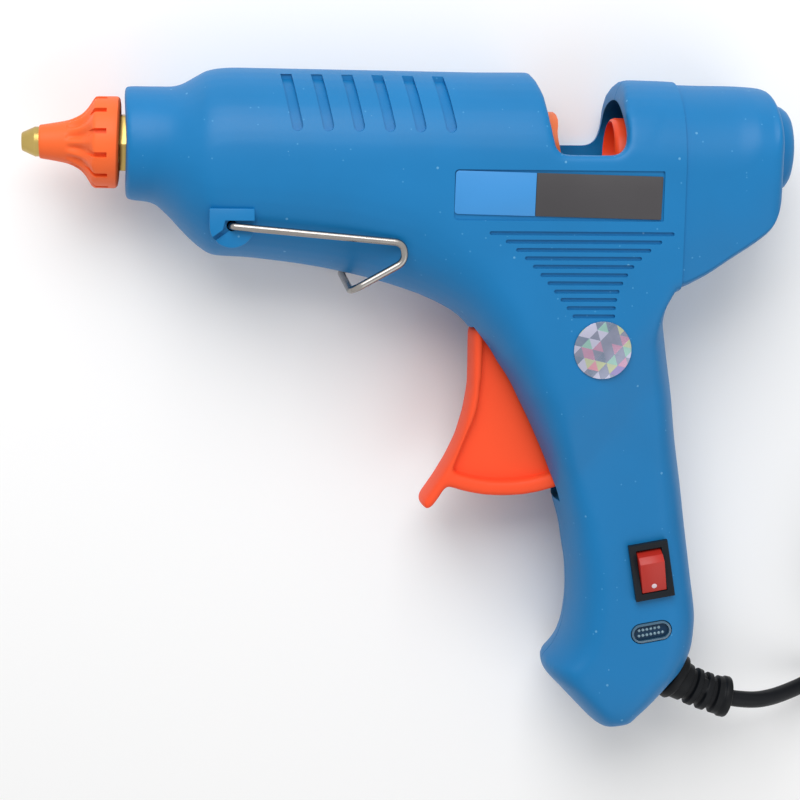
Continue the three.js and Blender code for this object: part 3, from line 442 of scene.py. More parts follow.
# %% Turned and bevelled solids
def turned(profile, y=AXIS_Y, z=0.0, sides=64):
    """A profile of (x, radius) points, closed or ending on the axis, turned about a line along X."""
    bm = bmesh.new()
    line = [bm.verts.new((x, radius, 0)) for x, radius in profile]
    edges = [bm.edges.new(pair) for pair in zip(line, line[1:])]
    if profile[0][1] > 0 and profile[-1][1] > 0:
        edges.append(bm.edges.new((line[-1], line[0])))
    bmesh.ops.spin(bm, geom=line + edges, axis=(1, 0, 0), cent=(0, 0, 0), angle=math.tau, steps=sides,
                   use_merge=True)
    bmesh.ops.remove_doubles(bm, verts=bm.verts, dist=0.0001)
    bmesh.ops.recalc_face_normals(bm, faces=bm.faces)
    return moved(bm, (0, y, z))


def rod(x0, x1, radius, y=AXIS_Y, z=0.0, sides=48):
    return turned([(x0, 0), (x0, radius), (x1, radius), (x1, 0)], y, z, sides)


def rounded(x0, x1, y0, y1, left, right):
    """A rectangle with round corners, of one radius on its left side and another on its right."""
    return (arc(x1 - right, y1 - right, right, 0, 90) + arc(x0 + left, y1 - left, left, 90, 180)
            + arc(x0 + left, y0 + left, left, 180, 270) + arc(x1 - right, y0 + right, right, 270, 360))


def edged(bm, width, segments=2):
    """The solid with its sharp edges broken by a small bevel."""
    sharp = [edge for edge in bm.edges if edge.calc_face_angle(0) > math.radians(30)]
    bmesh.ops.bevel(bm, geom=sharp, offset=width, offset_type="OFFSET", affect="EDGES", segments=segments,
                    profile=0.5, material=-1, clamp_overlap=True)
    return bm


print("a rod has", len(rod(0, 5, 1).faces), "faces")


# %% Several solids at once
def gathered(*solids):
    """Solids that don't touch, in one bmesh."""
    whole = bmesh.new()
    for solid in solids:
        mesh = bpy.data.meshes.new("gathered")
        solid.to_mesh(mesh)
        solid.free()
        whole.from_mesh(mesh)
        bpy.data.meshes.remove(mesh)
    return whole


def mirrored(bm):
    """A solid and its mirror image across the gun's mid-plane."""
    other = bm.copy()
    bmesh.ops.scale(other, verts=other.verts, vec=(1, 1, -1))
    bmesh.ops.reverse_faces(other, faces=other.faces)
    return gathered(bm, other)


print("two pins gathered:", len(mirrored(pin(0, 0, 1, 2, 3)).faces), "faces")


# %% Modifiers on a bmesh
def loose_object(bm):
    mesh = bpy.data.meshes.new("work")
    bm.to_mesh(mesh)
    bm.free()
    thing = bpy.data.objects.new("work", mesh)
    bpy.context.scene.collection.objects.link(thing)
    return thing


def modified(bm, kind, **settings):
    """The bmesh that a modifier makes of another."""
    thing = loose_object(bm)
    modifier = thing.modifiers.new("work", kind)
    for key, value in settings.items():
        setattr(modifier, key, value)
    mesh = bpy.data.meshes.new_from_object(thing.evaluated_get(bpy.context.evaluated_depsgraph_get()))
    made = bmesh.new()
    made.from_mesh(mesh)
    for used in (thing.data, mesh):
        bpy.data.meshes.remove(used)
    return made


def combined(bm, tool, operation):
    tool_object = loose_object(tool)
    made = modified(bm, "BOOLEAN", operation=operation, solver="MANIFOLD", object=tool_object)
    bpy.data.meshes.remove(tool_object.data)
    return made


def joined(first, *others):
    for other in others:
        first = combined(first, other, "UNION")
    return first


def cut(bm, *tools):
    for tool in tools:
        bm = combined(bm, tool, "DIFFERENCE")
    return bm


def shared(bm, tool):
    return combined(bm, tool, "INTERSECT")


print("a cube with a hole:", len(cut(box(-1, 1, -1, 1, -1, 1), pin(0, 0, 0.5, -2, 2)).faces), "faces")


# %% [markdown]
# ## The body's form
# The case is moulded as two halves, but its outside is one flowing form, so it is made whole and parted at
# the end. It is lofted through sections. Each section runs from a point on the lower or front edge to a
# point on the upper or rear edge, has a half width, and is rounded at both ends by a quarter of an ellipse.
# The values between two sections follow a curve that never overshoots, so a straight stretch stays
# straight.

# %% Sections
GRIP_HALF = 15.5
WALL = 2.4
ROOF = 3.2  # what the roof beside the stick window has over WALL
ROOF_SPAN = (20, 66)
BARREL_AND_GRIP = [
    (-72.6, 53.6, -72.6, 81.6, 14, 14, 14),
    (-71.8, 52.9, -71.8, 82.1, 14.6, 14.6, 14.6),
    (-66.0, 52.2, -66.0, 82.1, 15.0, 14.9, 14.9),
    (-62.0, 49.2, -60.6, 82.1, 16.4, 16.4, 16.4),
    (-58.0, 44.9, -58.0, 82.7, 18.2, 19.2, 19.2),
    (-54.0, 41.1, -54.4, 84.7, HALF_WIDTH - 1.5, 22, 21),
    (-49.5, 38.6, -50.4, 86.6, HALF_WIDTH - 0.3, 23, 21.5),
    (-42.0, 38.2, -44.0, 87.2, HALF_WIDTH, 24, 21.5),
    (-26.0, 36.3, -27.0, 87.1, HALF_WIDTH, 25, 21.5),
    (-14.0, 34.0, -12.0, 87.0, HALF_WIDTH, 26, 21.5),
    (-3.0, 31.1, 4.0, 86.9, HALF_WIDTH, 26, 21.5),
    (7.0, 27.5, 18.0, 86.8, HALF_WIDTH, 22, 22),
    (14.9, 23.0, 34.0, 87.0, HALF_WIDTH, 19, 23),
    (19.1, 18.3, 50.0, 85.5, HALF_WIDTH, 17, 23.5),
    (22.8, 13.5, 62.0, 85.3, HALF_WIDTH, 15, 23.5),
    (24.4, 10.8, 69.0, 85.1, HALF_WIDTH, 14, 24),
    (25.8, 8.9, 72.0, 62.0, HALF_WIDTH, 13, 1),
    (27.9, 5.6, 72.0, 48.0, HALF_WIDTH, 12, 1),
    (30.3, 0.9, 71.8, 40.0, HALF_WIDTH, 11, 2),
    (32.7, -3.8, 71.0, 34.4, HALF_WIDTH - 0.1, 11, 4),
    (35.2, -9.1, 69.3, 29.9, HALF_WIDTH - 0.5, 10.5, 6.5),
    (37.6, -14.6, 68.8, 25.0, HALF_WIDTH - 1.5, 10, 8.3),
    (39.4, -19.3, 69.6, 19.7, HALF_WIDTH - 2.7, 9.5, 9.5),
    (41.0, -23.3, 70.9, 12.1, GRIP_HALF + 1.9, 9, 9.5),
    (42.2, -27.7, 72.3, 4.1, GRIP_HALF + 1.2, 9, 9.5),
    (44.0, -34.0, 74.0, -8.9, GRIP_HALF + 0.6, 9, 9.5),
    (45.0, -40.0, 76.1, -21.8, GRIP_HALF + 0.3, 9, 9.5),
    (46.0, -46.0, 77.8, -33.3, GRIP_HALF + 0.1, 9, 9.5),
    (46.3, -53.0, 80.0, -47.4, GRIP_HALF, 9, 9.5),
    (45.7, -60.0, 81.7, -59.5, GRIP_HALF, 9, 9.5),
    (44.3, -65.2, 81.3, -66.5, GRIP_HALF, 9, 9.5),
    (42.1, -68.9, 79.9, -71.1, GRIP_HALF, 9, 9.5),
    (39.9, -71.6, 78.4, -74.1, GRIP_HALF, 9, 9.5),
    (40.5, -74.1, 76.4, -76.5, GRIP_HALF - 0.1, 9, 9.5),
    (44.8, -78.9, 72.4, -81.2, GRIP_HALF - 0.4, 9, 9),
    (49.7, -84.1, 69.0, -84.6, GRIP_HALF - 1.1, 8, 8),
    (53.0, -87.5, 66.9, -86.2, GRIP_HALF - 2.5, 6, 6),
    (54.6, -88.8, 65.9, -87.4, GRIP_HALF - 4.5, 4, 4),
    (55.6, -89.3, 65.2, -87.9, GRIP_HALF - 6, 3, 3),
]
REAR_HOUSING = [
    (50.0, 44.0, 50.0, 85.5, HALF_WIDTH, 4, 21.5),
    (64.0, 36.0, 62.0, 85.3, HALF_WIDTH, 4, 21.5),
    (70.0, 30.3, 72.0, 85.0, HALF_WIDTH, 4, 21.5),
    (76.0, 32.7, 77.5, 84.9, HALF_WIDTH, 4, 21.5),
    (84.0, 37.9, 84.5, 84.9, HALF_WIDTH, 4, 21),
    (90.0, 41.9, 90.0, 84.7, HALF_WIDTH, 4, 17),
    (93.2, 44.5, 93.2, 84.4, HALF_WIDTH, 4, 17),
    (94.9, 46.6, 95.0, 83.8, HALF_WIDTH - 0.4, 4.5, 14),
    (95.8, 48.7, 96.0, 82.4, HALF_WIDTH - 1.2, 5, 12),
    (96.3, 51.0, 96.5, 80.6, HALF_WIDTH - 2.4, 5, 11),
    (96.5, 53.5, 96.6, 78.8, HALF_WIDTH - 4, 5, 10),
]
print(f"{len(BARREL_AND_GRIP)} sections for the barrel and grip, {len(REAR_HOUSING)} for the rear housing")


# %% [markdown]
# A loft is a row of loops with a skin between each two. `create_circle` gives a loop of the right number of
# points, each point is moved on to the section's outline, and `bridge_loops` lays the skin.

# %% Points of a section
def between(rows, steps):
    """The rows with more rows between them, on a curve that keeps within each pair of values."""
    def slope(before, here, after):
        down, on = here - before, after - here
        return 2 * down * on / (down + on) if down * on > 0 else 0

    ends = [rows[0], *rows, rows[-1]]
    fine = []
    for a, b, c, d in zip(ends, ends[1:], ends[2:], ends[3:]):
        for step in range(steps):
            t = step / steps
            fine.append([
                (2 * t**3 - 3 * t**2 + 1) * q + (t**3 - 2 * t**2 + t) * slope(p, q, r)
                + (3 * t**2 - 2 * t**3) * r + (t**3 - t**2) * slope(q, r, s)
                for p, q, r, s in zip(a, b, c, d)
            ])
    return fine + [list(rows[-1])]


def outline_of(section, steps):
    x0, y0, x1, y1, half, first, second = section
    start, end = Vector((x0, y0, 0)), Vector((x1, y1, 0))
    length = (end - start).length
    across = (end - start) / length
    side = []
    for turn in [math.pi / 2 * step / steps for step in range(steps + 1)]:
        side.append((first * (1 - math.cos(turn)), half * math.sin(turn)))
    for turn in [math.pi / 2 * step / steps for step in range(steps, -1, -1)]:
        side.append((length - second * (1 - math.cos(turn)), half * math.sin(turn)))
    back = [(along, -z) for along, z in reversed(side[1:-1])]
    return [start + across * along + Vector((0, 0, z)) for along, z in side + back]


print("a section has", len(outline_of(BARREL_AND_GRIP[0], 10)), "points")


# %% Lofting
def loft(sections, steps=10):
    bm = bmesh.new()
    loops = []
    for section in sections:
        outline = outline_of(section, steps)
        circle = bmesh.ops.create_circle(bm, segments=len(outline), radius=1)["verts"]
        for vert, place in zip(circle, outline):
            vert.co = place
        loops.append(circle)
    rings = [list({edge for vert in circle for edge in vert.link_edges}) for circle in loops]
    for ring, after in zip(rings, rings[1:]):
        bmesh.ops.bridge_loops(bm, edges=ring + after)
    for circle in (loops[0], loops[-1]):
        bm.faces.new(circle)
    bmesh.ops.recalc_face_normals(bm, faces=bm.faces)
    return bm


def inset(sections, wall, roof=0.0):
    """Sections moved in by a wall, with a thicker roof beside the stick window."""
    smaller = []
    for number, (x0, y0, x1, y1, half, first, second) in enumerate(sections):
        before = sections[max(number - 1, 0)]
        after = sections[min(number + 1, len(sections) - 1)]
        start, end = Vector((x0, y0)), Vector((x1, y1))
        across = (end - start).normalized()
        low = (Vector(after[0:2]) - Vector(before[0:2])).normalized()
        high = (Vector(after[2:4]) - Vector(before[2:4])).normalized()
        at_start = wall / max(0.45, abs(across.cross(low)))
        at_end = wall / max(0.45, abs(across.cross(high)))
        if ROOF_SPAN[0] < x1 < ROOF_SPAN[1] and y1 > 80:
            at_end += roof
        start += across * at_start
        end -= across * at_end
        smaller.append((*start, *end, half - wall, max(first - at_start, 1), max(second - at_end, 1)))
    return smaller


def body_inset(wall, steps=6):
    return joined(loft(inset(BARREL_AND_GRIP, wall), steps), loft(inset(REAR_HOUSING, wall), steps))


print("a plain loft of the barrel and grip:", len(loft(BARREL_AND_GRIP).faces), "faces")


# %% [markdown]
# Where the sections are cut by the window for the stick and by the step in front of the rear
# housing, the real moulding has soft edges. A bevel fails on edges where curved surfaces meet, so the
# cut solid is remeshed into small even squares and its points are smoothed a few times: sharp corners turn
# into fillets and broad surfaces keep their place.

# %% The outside
FAR = HALF_WIDTH + 1
REAR_STEP = {"x": 70.4, "depth": 0.8}
BOSS_R = 12.1
WINDOW = [
    (31.2, 92), (31.9, 87.6), (33.3, 84.6), (34.4, 81.6), (35.0, 78.0), (36.0, 72.6), (36.8, 68.8),
    (38.2, 67.2), (40.4, 66.9), (52.2, 66.9), (54.1, 67.7), (55.2, 69.6), (55.6, 73.0), (55.3, 77.5),
    (55.6, 81.0), (56.7, 84.2), (58.6, 86.4), (61.0, 87.4), (62, 92),
]
REAR_WALL = {"x": 50, "shift": 0.35, "slant": 0.45}  # what lies past x of the window, and how it leans
NOSE_HOLLOW = 0.9  # at NOSE_SIDE from the mid-plane
NOSE_SIDE = 14
TRIGGER_HALF = 7.2
TRIGGER_SLOT = [
    (13, 16), (19.6, 22), (28, 26), (40, 12), (50, -6), (54, -22), (43, -26.2), (38, -26.2), (24, -2),
]
BOSS = [
    (88, 0), (88, BOSS_R), (97.6, BOSS_R - 0.2), (99.6, BOSS_R - 1.0), (100.8, BOSS_R - 1.9),
    (101.5, BOSS_R - 2.9), (101.9, BOSS_R - 4.2), (101.9, 0),
]
print(f"window: {len(WINDOW)} points, rear boss: {2 * BOSS_R} mm across")

# %% Softening
VOXEL = 0.7
SOFTENING = 7  # rounds of smoothing


def softened(bm, size, rounds):
    """The solid remade of small even squares and smoothed, so that its corners turn into fillets."""
    fine = modified(bm, "REMESH", mode="VOXEL", voxel_size=size)
    every_way = {f"use_axis_{axis}": True for axis in "xyz"}
    for _ in range(rounds):
        bmesh.ops.smooth_vert(fine, verts=fine.verts, factor=0.5, **every_way)
    return fine


def nose_hollowed(bm):
    """The nose's face falls back a little towards both sides."""
    for vert in bm.verts:
        if vert.co.x < BARREL_AND_GRIP[1][0] - 0.1:
            vert.co.x += NOSE_HOLLOW * (vert.co.z / NOSE_SIDE)**2
    return bm


def window_cut():
    """The window, whose rear wall leans: it lies a little further forward on the far side."""
    tool = prism(WINDOW, -FAR, FAR)
    for vert in tool.verts:
        if vert.co.x > REAR_WALL["x"]:
            vert.co.x -= REAR_WALL["shift"] - REAR_WALL["slant"] * vert.co.z / FAR
    return tool


def outside_form():
    whole = joined(nose_hollowed(loft(between(BARREL_AND_GRIP, 5))), loft(between(REAR_HOUSING, 5)))
    soft = softened(cut(whole, window_cut()), VOXEL, SOFTENING)
    depth = REAR_STEP["depth"]
    lower = [(x0, y0 + depth, x1, y1 - depth, half - depth, first, second)
             for x0, y0, x1, y1, half, first, second in REAR_HOUSING]
    step = cut(box(REAR_STEP["x"], 110, 20, 90, -FAR, FAR), loft(between(lower, 5)))
    return joined(cut(soft, step), turned(BOSS, sides=96))


outside = outside_form()
print(f"outside: {len(outside.faces)} faces of {VOXEL} mm")

# %% [markdown]
# ## What the shells hold
# Inside, each half has the bulkheads that carry the heating chamber and the inlet sleeve, the rails that
# the feed slides on, bosses for the trigger's pivot and for the screws, and a post for the return spring.
# They grow out of the wall, so they are cut to the body's form and joined to it. The brackets for the wire
# stand stick out of both sides.

# %% Fittings
ROOM = HALF_WIDTH - WALL
PIVOT = (27.5, 17.5)  # the trigger's
PIN_R = 2
PIN_HALF = TRIGGER_HALF + 3.2
STAND_PIVOT = (-45.2, 48.2)
WIRE_R = 0.9
CHAMBER_R = 9.5
SLEEVE_FLANGE_R = 8.7
PLATE = {"x0": 27.3, "x1": 66, "y0": 51.9, "y1": 56.1, "half": ROOM - 0.7}
RAIL = 2
RAIL_X0, RAIL_X1, RAIL_Z = 12, 76, 14.5
BULKHEADS = [(-62, -60, 30), (-12, -10, 48)]  # front, back and lowest point
SCREWS = [(-34, 44.5), (-4, 39), (80, 78), (89, 48), (62, 22), (52.5, -38), (74.5, -54), (48.5, -72)]
SCREW_R = 1.6
SCREW_HEAD_R = 2.6
SEAT_R = 4.2
SCREW_BOSS_R = 3.2
SCREW_SEAT = 1.9 - GRIP_HALF
SCREW_END = GRIP_HALF - 4.5
SPRING_POST = (57.5, 32)
RELIEF_AT = (76.5, -77.3)
RELIEF_LEAN = -22
RELIEF_R = 4.9
RELIEF_NECK_R = 4.1
COLLAR_AT = (78.3, -78.15)  # middle of the strain relief's collar
COLLAR_LEAN = -34
COLLAR_R = 6.6
COLLAR_LENGTH = 2.8
BRACKET = {"radius": 5.7, "x0": -50.9, "x1": -39.5, "y1": 52.7, "z0": 12, "z1": 18.9, "proud": 20.6}
print(f"{len(SCREWS)} screws, walls of {WALL} mm")


# %% Making the fittings
def leaned(bm):
    """From the strain relief's own line into the grip."""
    return turned_about(bm, RELIEF_AT, RELIEF_LEAN)


def inner_fittings():
    passages = joined(rod(-66, -50, CHAMBER_R + 0.5), rod(-20, 0, SLEEVE_FLANGE_R + SEAM))
    bulkheads = cut(gathered(*[box(x0, x1, low, 95, -FAR, FAR) for x0, x1, low in BULKHEADS]), passages)
    rails = [mirrored(box(RAIL_X0, RAIL_X1, y, y + RAIL, RAIL_Z, HALF_WIDTH))
             for y in (PLATE["y0"] - SEAM - RAIL, PLATE["y1"] + SEAM)]
    pivots = mirrored(pin(*PIVOT, PIN_R + 2.6, TRIGGER_HALF + 0.8, HALF_WIDTH))
    seats = gathered(*[pin(*place, SEAT_R, -HALF_WIDTH, SCREW_SEAT + 3) for place in SCREWS])
    bosses = gathered(*[pin(*place, SCREW_BOSS_R, SCREW_SEAT + 2.6, HALF_WIDTH) for place in SCREWS])
    post = pin(*SPRING_POST, 1.8, -HALF_WIDTH, HALF_WIDTH)
    relief_wall = leaned(box(-6.2, 1.2, -9, 9, -HALF_WIDTH, HALF_WIDTH))
    return joined(bulkheads, gathered(*rails), pivots, seats, bosses, post, relief_wall)


def brackets():
    """Each is a block with a round foot. Above and behind the wire's sweep it stands prouder, and a groove
    leads from there to the hole."""
    x, y = STAND_PIVOT
    x0, x1, y1, lower, upper = (BRACKET[key] for key in ("x0", "x1", "y1", "z0", "z1"))
    outline = arc(x, y, BRACKET["radius"], 180, 360, 24) + [(x1, y1), (x0, y1)]

    def block(top):
        return edged(prism(outline, lower, top), 0.25)

    clear_of_wire = [(x0 - 2, y1 + 1), (x1 + 1, y1 + 1), (x1 + 1, y + 1.5), (x - 1.7, y + 1.5),
                     (x - 2.4, y - 1), (x0 - 2, y - 5.6)]
    proud = shared(block(BRACKET["proud"]), prism(clear_of_wire, lower, FAR))
    groove = capsule((x, y), (x - 4.6, y - 3.3), 0.65, upper - 0.8, FAR)
    return mirrored(cut(joined(block(upper), proud), groove))


print(f"brackets: {BRACKET['x1'] - BRACKET['x0']:.1f} mm wide")


# %% [markdown]
# ## Crisp details
# Grooves, vents, the label's recess and the holes for the switch, the lamp and the screws are sharp on the
# real moulding, because the tool that cut them into the mould was sharp. They are cut after the softening,
# each with a plain solid of its own shape.

# %% Cuts in both shells
VENTS = 6
VENT_FIRST = -31.8
VENT_PITCH = 7.78
VENT_R = 1.4
VENT_TOP = 85.9
VENT_LENGTH = 12.2
VENT_LEAN = 2.9
GROOVES = 11
GROOVE_PITCH = 2.13
GROOVE_TOP = 47.1
GROOVE_R = 0.5
GROOVE_DEPTH = 0.7
GROOVE_FRONT = {"x": 20.1, "run": 22, "curve": 0.72}  # the grooves' front ends, from the top one down
GROOVE_REAR = {"x": 53.2, "run": 14.7, "curve": 2.3}  # their rear ends, from the lowest one up


def vent_cuts():
    slots = []
    for number in range(VENTS):
        x = VENT_FIRST + number * VENT_PITCH
        slots.append(capsule((x, VENT_TOP + 2.1), (x + VENT_LEAN, VENT_TOP - VENT_LENGTH), VENT_R, 6.5, FAR))
    slots = shared(gathered(*slots), box(-40, 20, VENT_TOP - 16, VENT_TOP, 6, FAR))
    return mirrored(cut(slots, loft(inset(BARREL_AND_GRIP, 1.4)[4:15])))


def groove_cuts():
    """Rows of short grooves that narrow downwards to follow the housing into the grip."""
    rows = []
    for number in range(GROOVES):
        y = GROOVE_TOP - number * GROOVE_PITCH
        down = number / (GROOVES - 1)
        front = GROOVE_FRONT["x"] + GROOVE_FRONT["run"] * down**GROOVE_FRONT["curve"] + GROOVE_R
        rear = GROOVE_REAR["x"] + GROOVE_REAR["run"] * (1 - down)**GROOVE_REAR["curve"] - GROOVE_R
        rows.append(capsule((front, y), (rear, y), GROOVE_R, HALF_WIDTH - GROOVE_DEPTH, FAR, 6))
    return mirrored(gathered(*rows))


print(f"{2 * VENTS} vents and {2 * GROOVES} grooves")


# %% Holes in both shells
def plain_cuts():
    return [
        mirrored(pin(*STAND_PIVOT, WIRE_R + 0.5, BRACKET["z0"] + 1, FAR)),
        rod(-80, -64, 9.3),
        rod(86, 110, 6.6),
        leaned(rod(-12, 5, RELIEF_NECK_R + SEAM, 0)),
        turned_about(rod(-COLLAR_LENGTH - SEAM, 12, COLLAR_R + SEAM, 0), COLLAR_AT, COLLAR_LEAN),
        pin(*PIVOT, PIN_R + 0.2, -PIN_HALF - 0.2, PIN_HALF + 0.2),
        gathered(*[pin(*place, SCREW_R, -FAR, SCREW_END + SEAM, 16) for place in SCREWS]),
        gathered(*[pin(*place, SCREW_HEAD_R + SEAM, -FAR, SCREW_SEAT) for place in SCREWS]),
    ]


print(len(plain_cuts()), "kinds of holes")

# %% Cuts in the left shell
SWITCH_AT = (66.3, -43.0)
LAMP_AT = (67.2, -60.3)
GRIP_TURN = 10
SWITCH_HALF, SWITCH_LENGTH = 4.3, 6.7
LAMP_HALF, LAMP_R = 2.8, 2.6
LABEL = {"x0": 10.9, "x1": 64.9, "y0": 50.3, "y1": 63.2, "depth": 0.6}


def left_cuts():
    half, length = SWITCH_HALF + SEAM, SWITCH_LENGTH + SEAM
    recess = rounded(*[LABEL[key] for key in ("x0", "x1", "y0", "y1")], 1.1, 0.4)
    return [
        prism(recess, HALF_WIDTH - LABEL["depth"], FAR),
        turned_about(box(-half, half, -length, length, 2, FAR), SWITCH_AT, GRIP_TURN),
        turned_about(capsule((-LAMP_HALF, 0), (LAMP_HALF, 0), LAMP_R + 0.25, 2, FAR), LAMP_AT, GRIP_TURN),
    ]


print(len(left_cuts()), "cuts for the label, the switch and the lamp")


# %% [markdown]
# Now the shells are put together: the softened outside, less the hollow, more the fittings, less the cuts.
# Two large boxes part the whole at the seam.

# %% The two shells
def whole_case():
    barrel_room = loft(inset(BARREL_AND_GRIP, WALL, ROOF)[2:-2])
    hollow = joined(barrel_room, loft(inset(REAR_HOUSING, WALL, ROOF)[:-3]))
    inner = shared(inner_fittings(), body_inset(WALL / 2))
    slot = prism(TRIGGER_SLOT, -TRIGGER_HALF - 0.4, TRIGGER_HALF + 0.4)
    shell = joined(cut(outside, hollow), cut(inner, window_cut()), brackets())
    return cut(shell, slot, vent_cuts(), groove_cuts(), *plain_cuts())


AROUND = (-120, 120, -120, 120)  # wider and higher than the gun
case = whole_case()
case_copy = case.copy()
left_half = cut(shared(case, box(*AROUND, SEAM / 2, FAR + 5)), *left_cuts())
right_half = shared(case_copy, box(*AROUND, -FAR - 5, -SEAM / 2))
print(f"left shell: {len(left_half.faces)} faces, right shell: {len(right_half.faces)}")


# %% [markdown]
# ## Moulded plastic
# Injection moulded plastic is never one flat colour. The pigment is a little uneven, the mould leaves a
# fine grain, and handling leaves parts glossier than others. Two noises give all of that: a broad one for
# the cloudiness and a fine one for the grain. The blue of the case also has pale flecks of dust and rubbed
# spots, which are Voronoi cells, of which only the middles of a few are kept.

# %% Moulded plastic
def grained(name, shade, roughness, unevenness=0.05, grain=0.2, shine=0.3):
    """A plastic finish and its colour, so that more can be laid over it."""
    plastic = Finish(name, specular_ior_level=shine)
    cloud = plastic.noise(38, 3)
    fine = plastic.noise(1600, 2)
    colour = plastic.mix(cloud, tone(shade, 1 - unevenness), tone(shade, 1 + unevenness))
    plastic.feed("Base Color", colour)
    plastic.feed("Roughness", cloud * 0.1 + fine * 0.1 + (roughness - 0.1))
    plastic.bump(fine, 0.00005, grain)
    return plastic, colour


def moulded(*values):
    """A plain plastic's material."""
    return grained(*values)[0].material


def flecked(plastic, colour, scale, size, share, pale):
    """Lays small pale flecks over a colour, in a share of the cells of a pattern."""
    cells = plastic.cells(scale)
    lot = plastic.node("SeparateColor", None, {0: plastic.other(cells, "Color")}, 0)
    return plastic.mix((cells < size) * (lot < share) * 0.5, colour, pale)


def body_plastic():
    blue, colour = grained("blue_plastic", (12, 116, 176), 0.46, 0.05, 0.25)
    colour = flecked(blue, colour, 240, 0.08, 0.22, paint(120, 184, 220))
    blue.feed("Base Color", flecked(blue, colour, 520, 0.12, 0.15, paint(80, 160, 208)))
    return blue.material


body_blue = body_plastic()
finish("left_case", left_half, body_blue, "housing", ["left_shell"], 40)
finish("right_case", right_half, body_blue, "housing", ["right_shell"], 40)
print(f"case: {len(body_blue.node_tree.nodes)} nodes make its blue")


# %% [markdown]
# ## Metals
# Metal gets its character from the marks of how it was made. Turned brass has fine rings about its axis, so
# the noise is squeezed along that axis. Drawn wire and pressed steel have fine streaks. The marks change
# the roughness more than the colour.

# %% Metals
def metal(name, shade, roughness, stretch=(1, 1, 1), bumps=0.1):
    made = Finish(name, metallic=1.0)
    marks = made.noise(700, 3, stretch=stretch)
    stain = made.noise(90, 3)
    made.feed("Base Color", made.mix(stain * 0.6 + marks * 0.4, tone(shade, 0.82), paint(*shade)))
    made.feed("Roughness", marks * 0.16 + stain * 0.08 + (roughness - 0.1))
    made.bump(marks, 0.00002, bumps)
    return made.material


RINGS = (1, 0.04, 0.04)
brass = metal("turned_brass", (204, 176, 104), 0.3, RINGS, 0.3)
steel = metal("bright_steel", (158, 154, 150), 0.2)
aluminium = metal("cast_aluminium", (190, 192, 194), 0.45, bumps=0.4)
black_rubber = rubber_finish("black_rubber", (10, 12, 15), 0.3)
print("metals:", brass.name, steel.name, aluminium.name)


# %% [markdown]
# ## The nozzle
# The brass tip is a turned part: a cone, a collar, a shank that screws into the heating chamber, and a
# hexagon for the spanner. A profile spun about the stick's axis makes it, and a second one bores it. The
# hexagon is the same spin with six steps, its edges broken by a small bevel.

# %% The brass tip
TIP_FACE = -98.8
TIP_R = 3.85
TIP_SHANK_R = 5.2
SHANK_START = -84.6
HEX_FRONT, HEX_REAR, HEX_R = -73.9, -70.4, 8.1
TIP_LINE = [
    (TIP_FACE, 0), (TIP_FACE, 2.15), (TIP_FACE + 0.2, 2.4), (TIP_FACE + 3.2, 3.76), (TIP_FACE + 3.4, TIP_R),
    (SHANK_START, TIP_R), (SHANK_START, TIP_SHANK_R), (-64.3, TIP_SHANK_R), (-64.3, 0),
]
TIP_BORE = [
    (-99.8, 0), (-99.8, 1.1), (TIP_FACE, 1.1), (TIP_FACE + 0.3, 0.9), (-96.2, 0.9), (-94.6, 2.5), (-80, 2.5),
    (-80, 3.1), (-64, 3.1), (-64, 0),
]


def about_axis(bm, degrees):
    """Turns a solid about the stick's axis."""
    return swung(bm, degrees, "X", (0, AXIS_Y, 0))


hexagon = about_axis(edged(rod(HEX_FRONT, HEX_REAR, HEX_R, sides=6), 0.3), 30)
tip_mesh = cut(joined(turned(TIP_LINE), hexagon), turned(TIP_BORE))
nozzle_tip = finish("brass_tip", tip_mesh, brass, "housing", ["nozzle_tip"])
print(f"brass tip: {len(nozzle_tip.data.polygons)} faces")


# %% [markdown]
# ## The nozzle cover
# The soft orange cover flares into a rim with twelve flutes. Each flute starts as a shallow hollow on the
# flare and ends as a short square slot in the rim. The flare is a spun profile of fine rings. Its points
# are pushed in along the hollows, which gives soft sides, and the slots are cut afterwards, which keeps
# them crisp. The cover is pushed on by hand and sits a little askew, so the points also slide along the
# axis, more the higher they are.

# %% The nozzle cover
COVER_MOUTH = TIP_R + 0.1
COVER_INSIDE = TIP_SHANK_R + SEAM
COVER_R = 11.8
FLUTES = 12
FLUTE_TURN = 18  # degrees from straight up out of the table to the first flute
HOLLOW = 1.2
HOLLOW_FRONT, HOLLOW_REAR = (-89, -83.5), (-81.4, -79.6)  # x over which a hollow deepens and fades
FLUTE_WIDTH = 0.16  # radians, over which it fades to its sides
SLOT_HALF = 0.7
COVER_ASKEW = 0.038  # slope of the rim
ASKEW_FROM = (-92, -83)  # x over which the slope sets in
COVER_FLARE = [
    (-94.3, 4.1), (-94.1, 4.28), (-91.3, 4.75), (-87.4, 5.5), (-85.4, 6.3), (-83.4, 7.55), (-82.2, 8.9),
    (-81.4, 10.1), (-80.7, 11.2), (-80.2, 11.65), (-79.5, COVER_R),
]
COVER_REAR = [
    (-75, COVER_R), (-74.4, 11.65), (-74, 11.1), (-73.8, 10), (-73.8, 8.8), (-74.4, 8.5),
    (-74.4, COVER_INSIDE), (SHANK_START - SEAM, COVER_INSIDE), (SHANK_START - SEAM, COVER_MOUTH),
    (-94.3, COVER_MOUTH),
]
SLOT = [(-84.4, 6.5), (-83, 7.3), (-81.5, 8.7), (-80, 10.1), (-76.8, 10.3), (-76.8, 13), (-84.4, 13)]


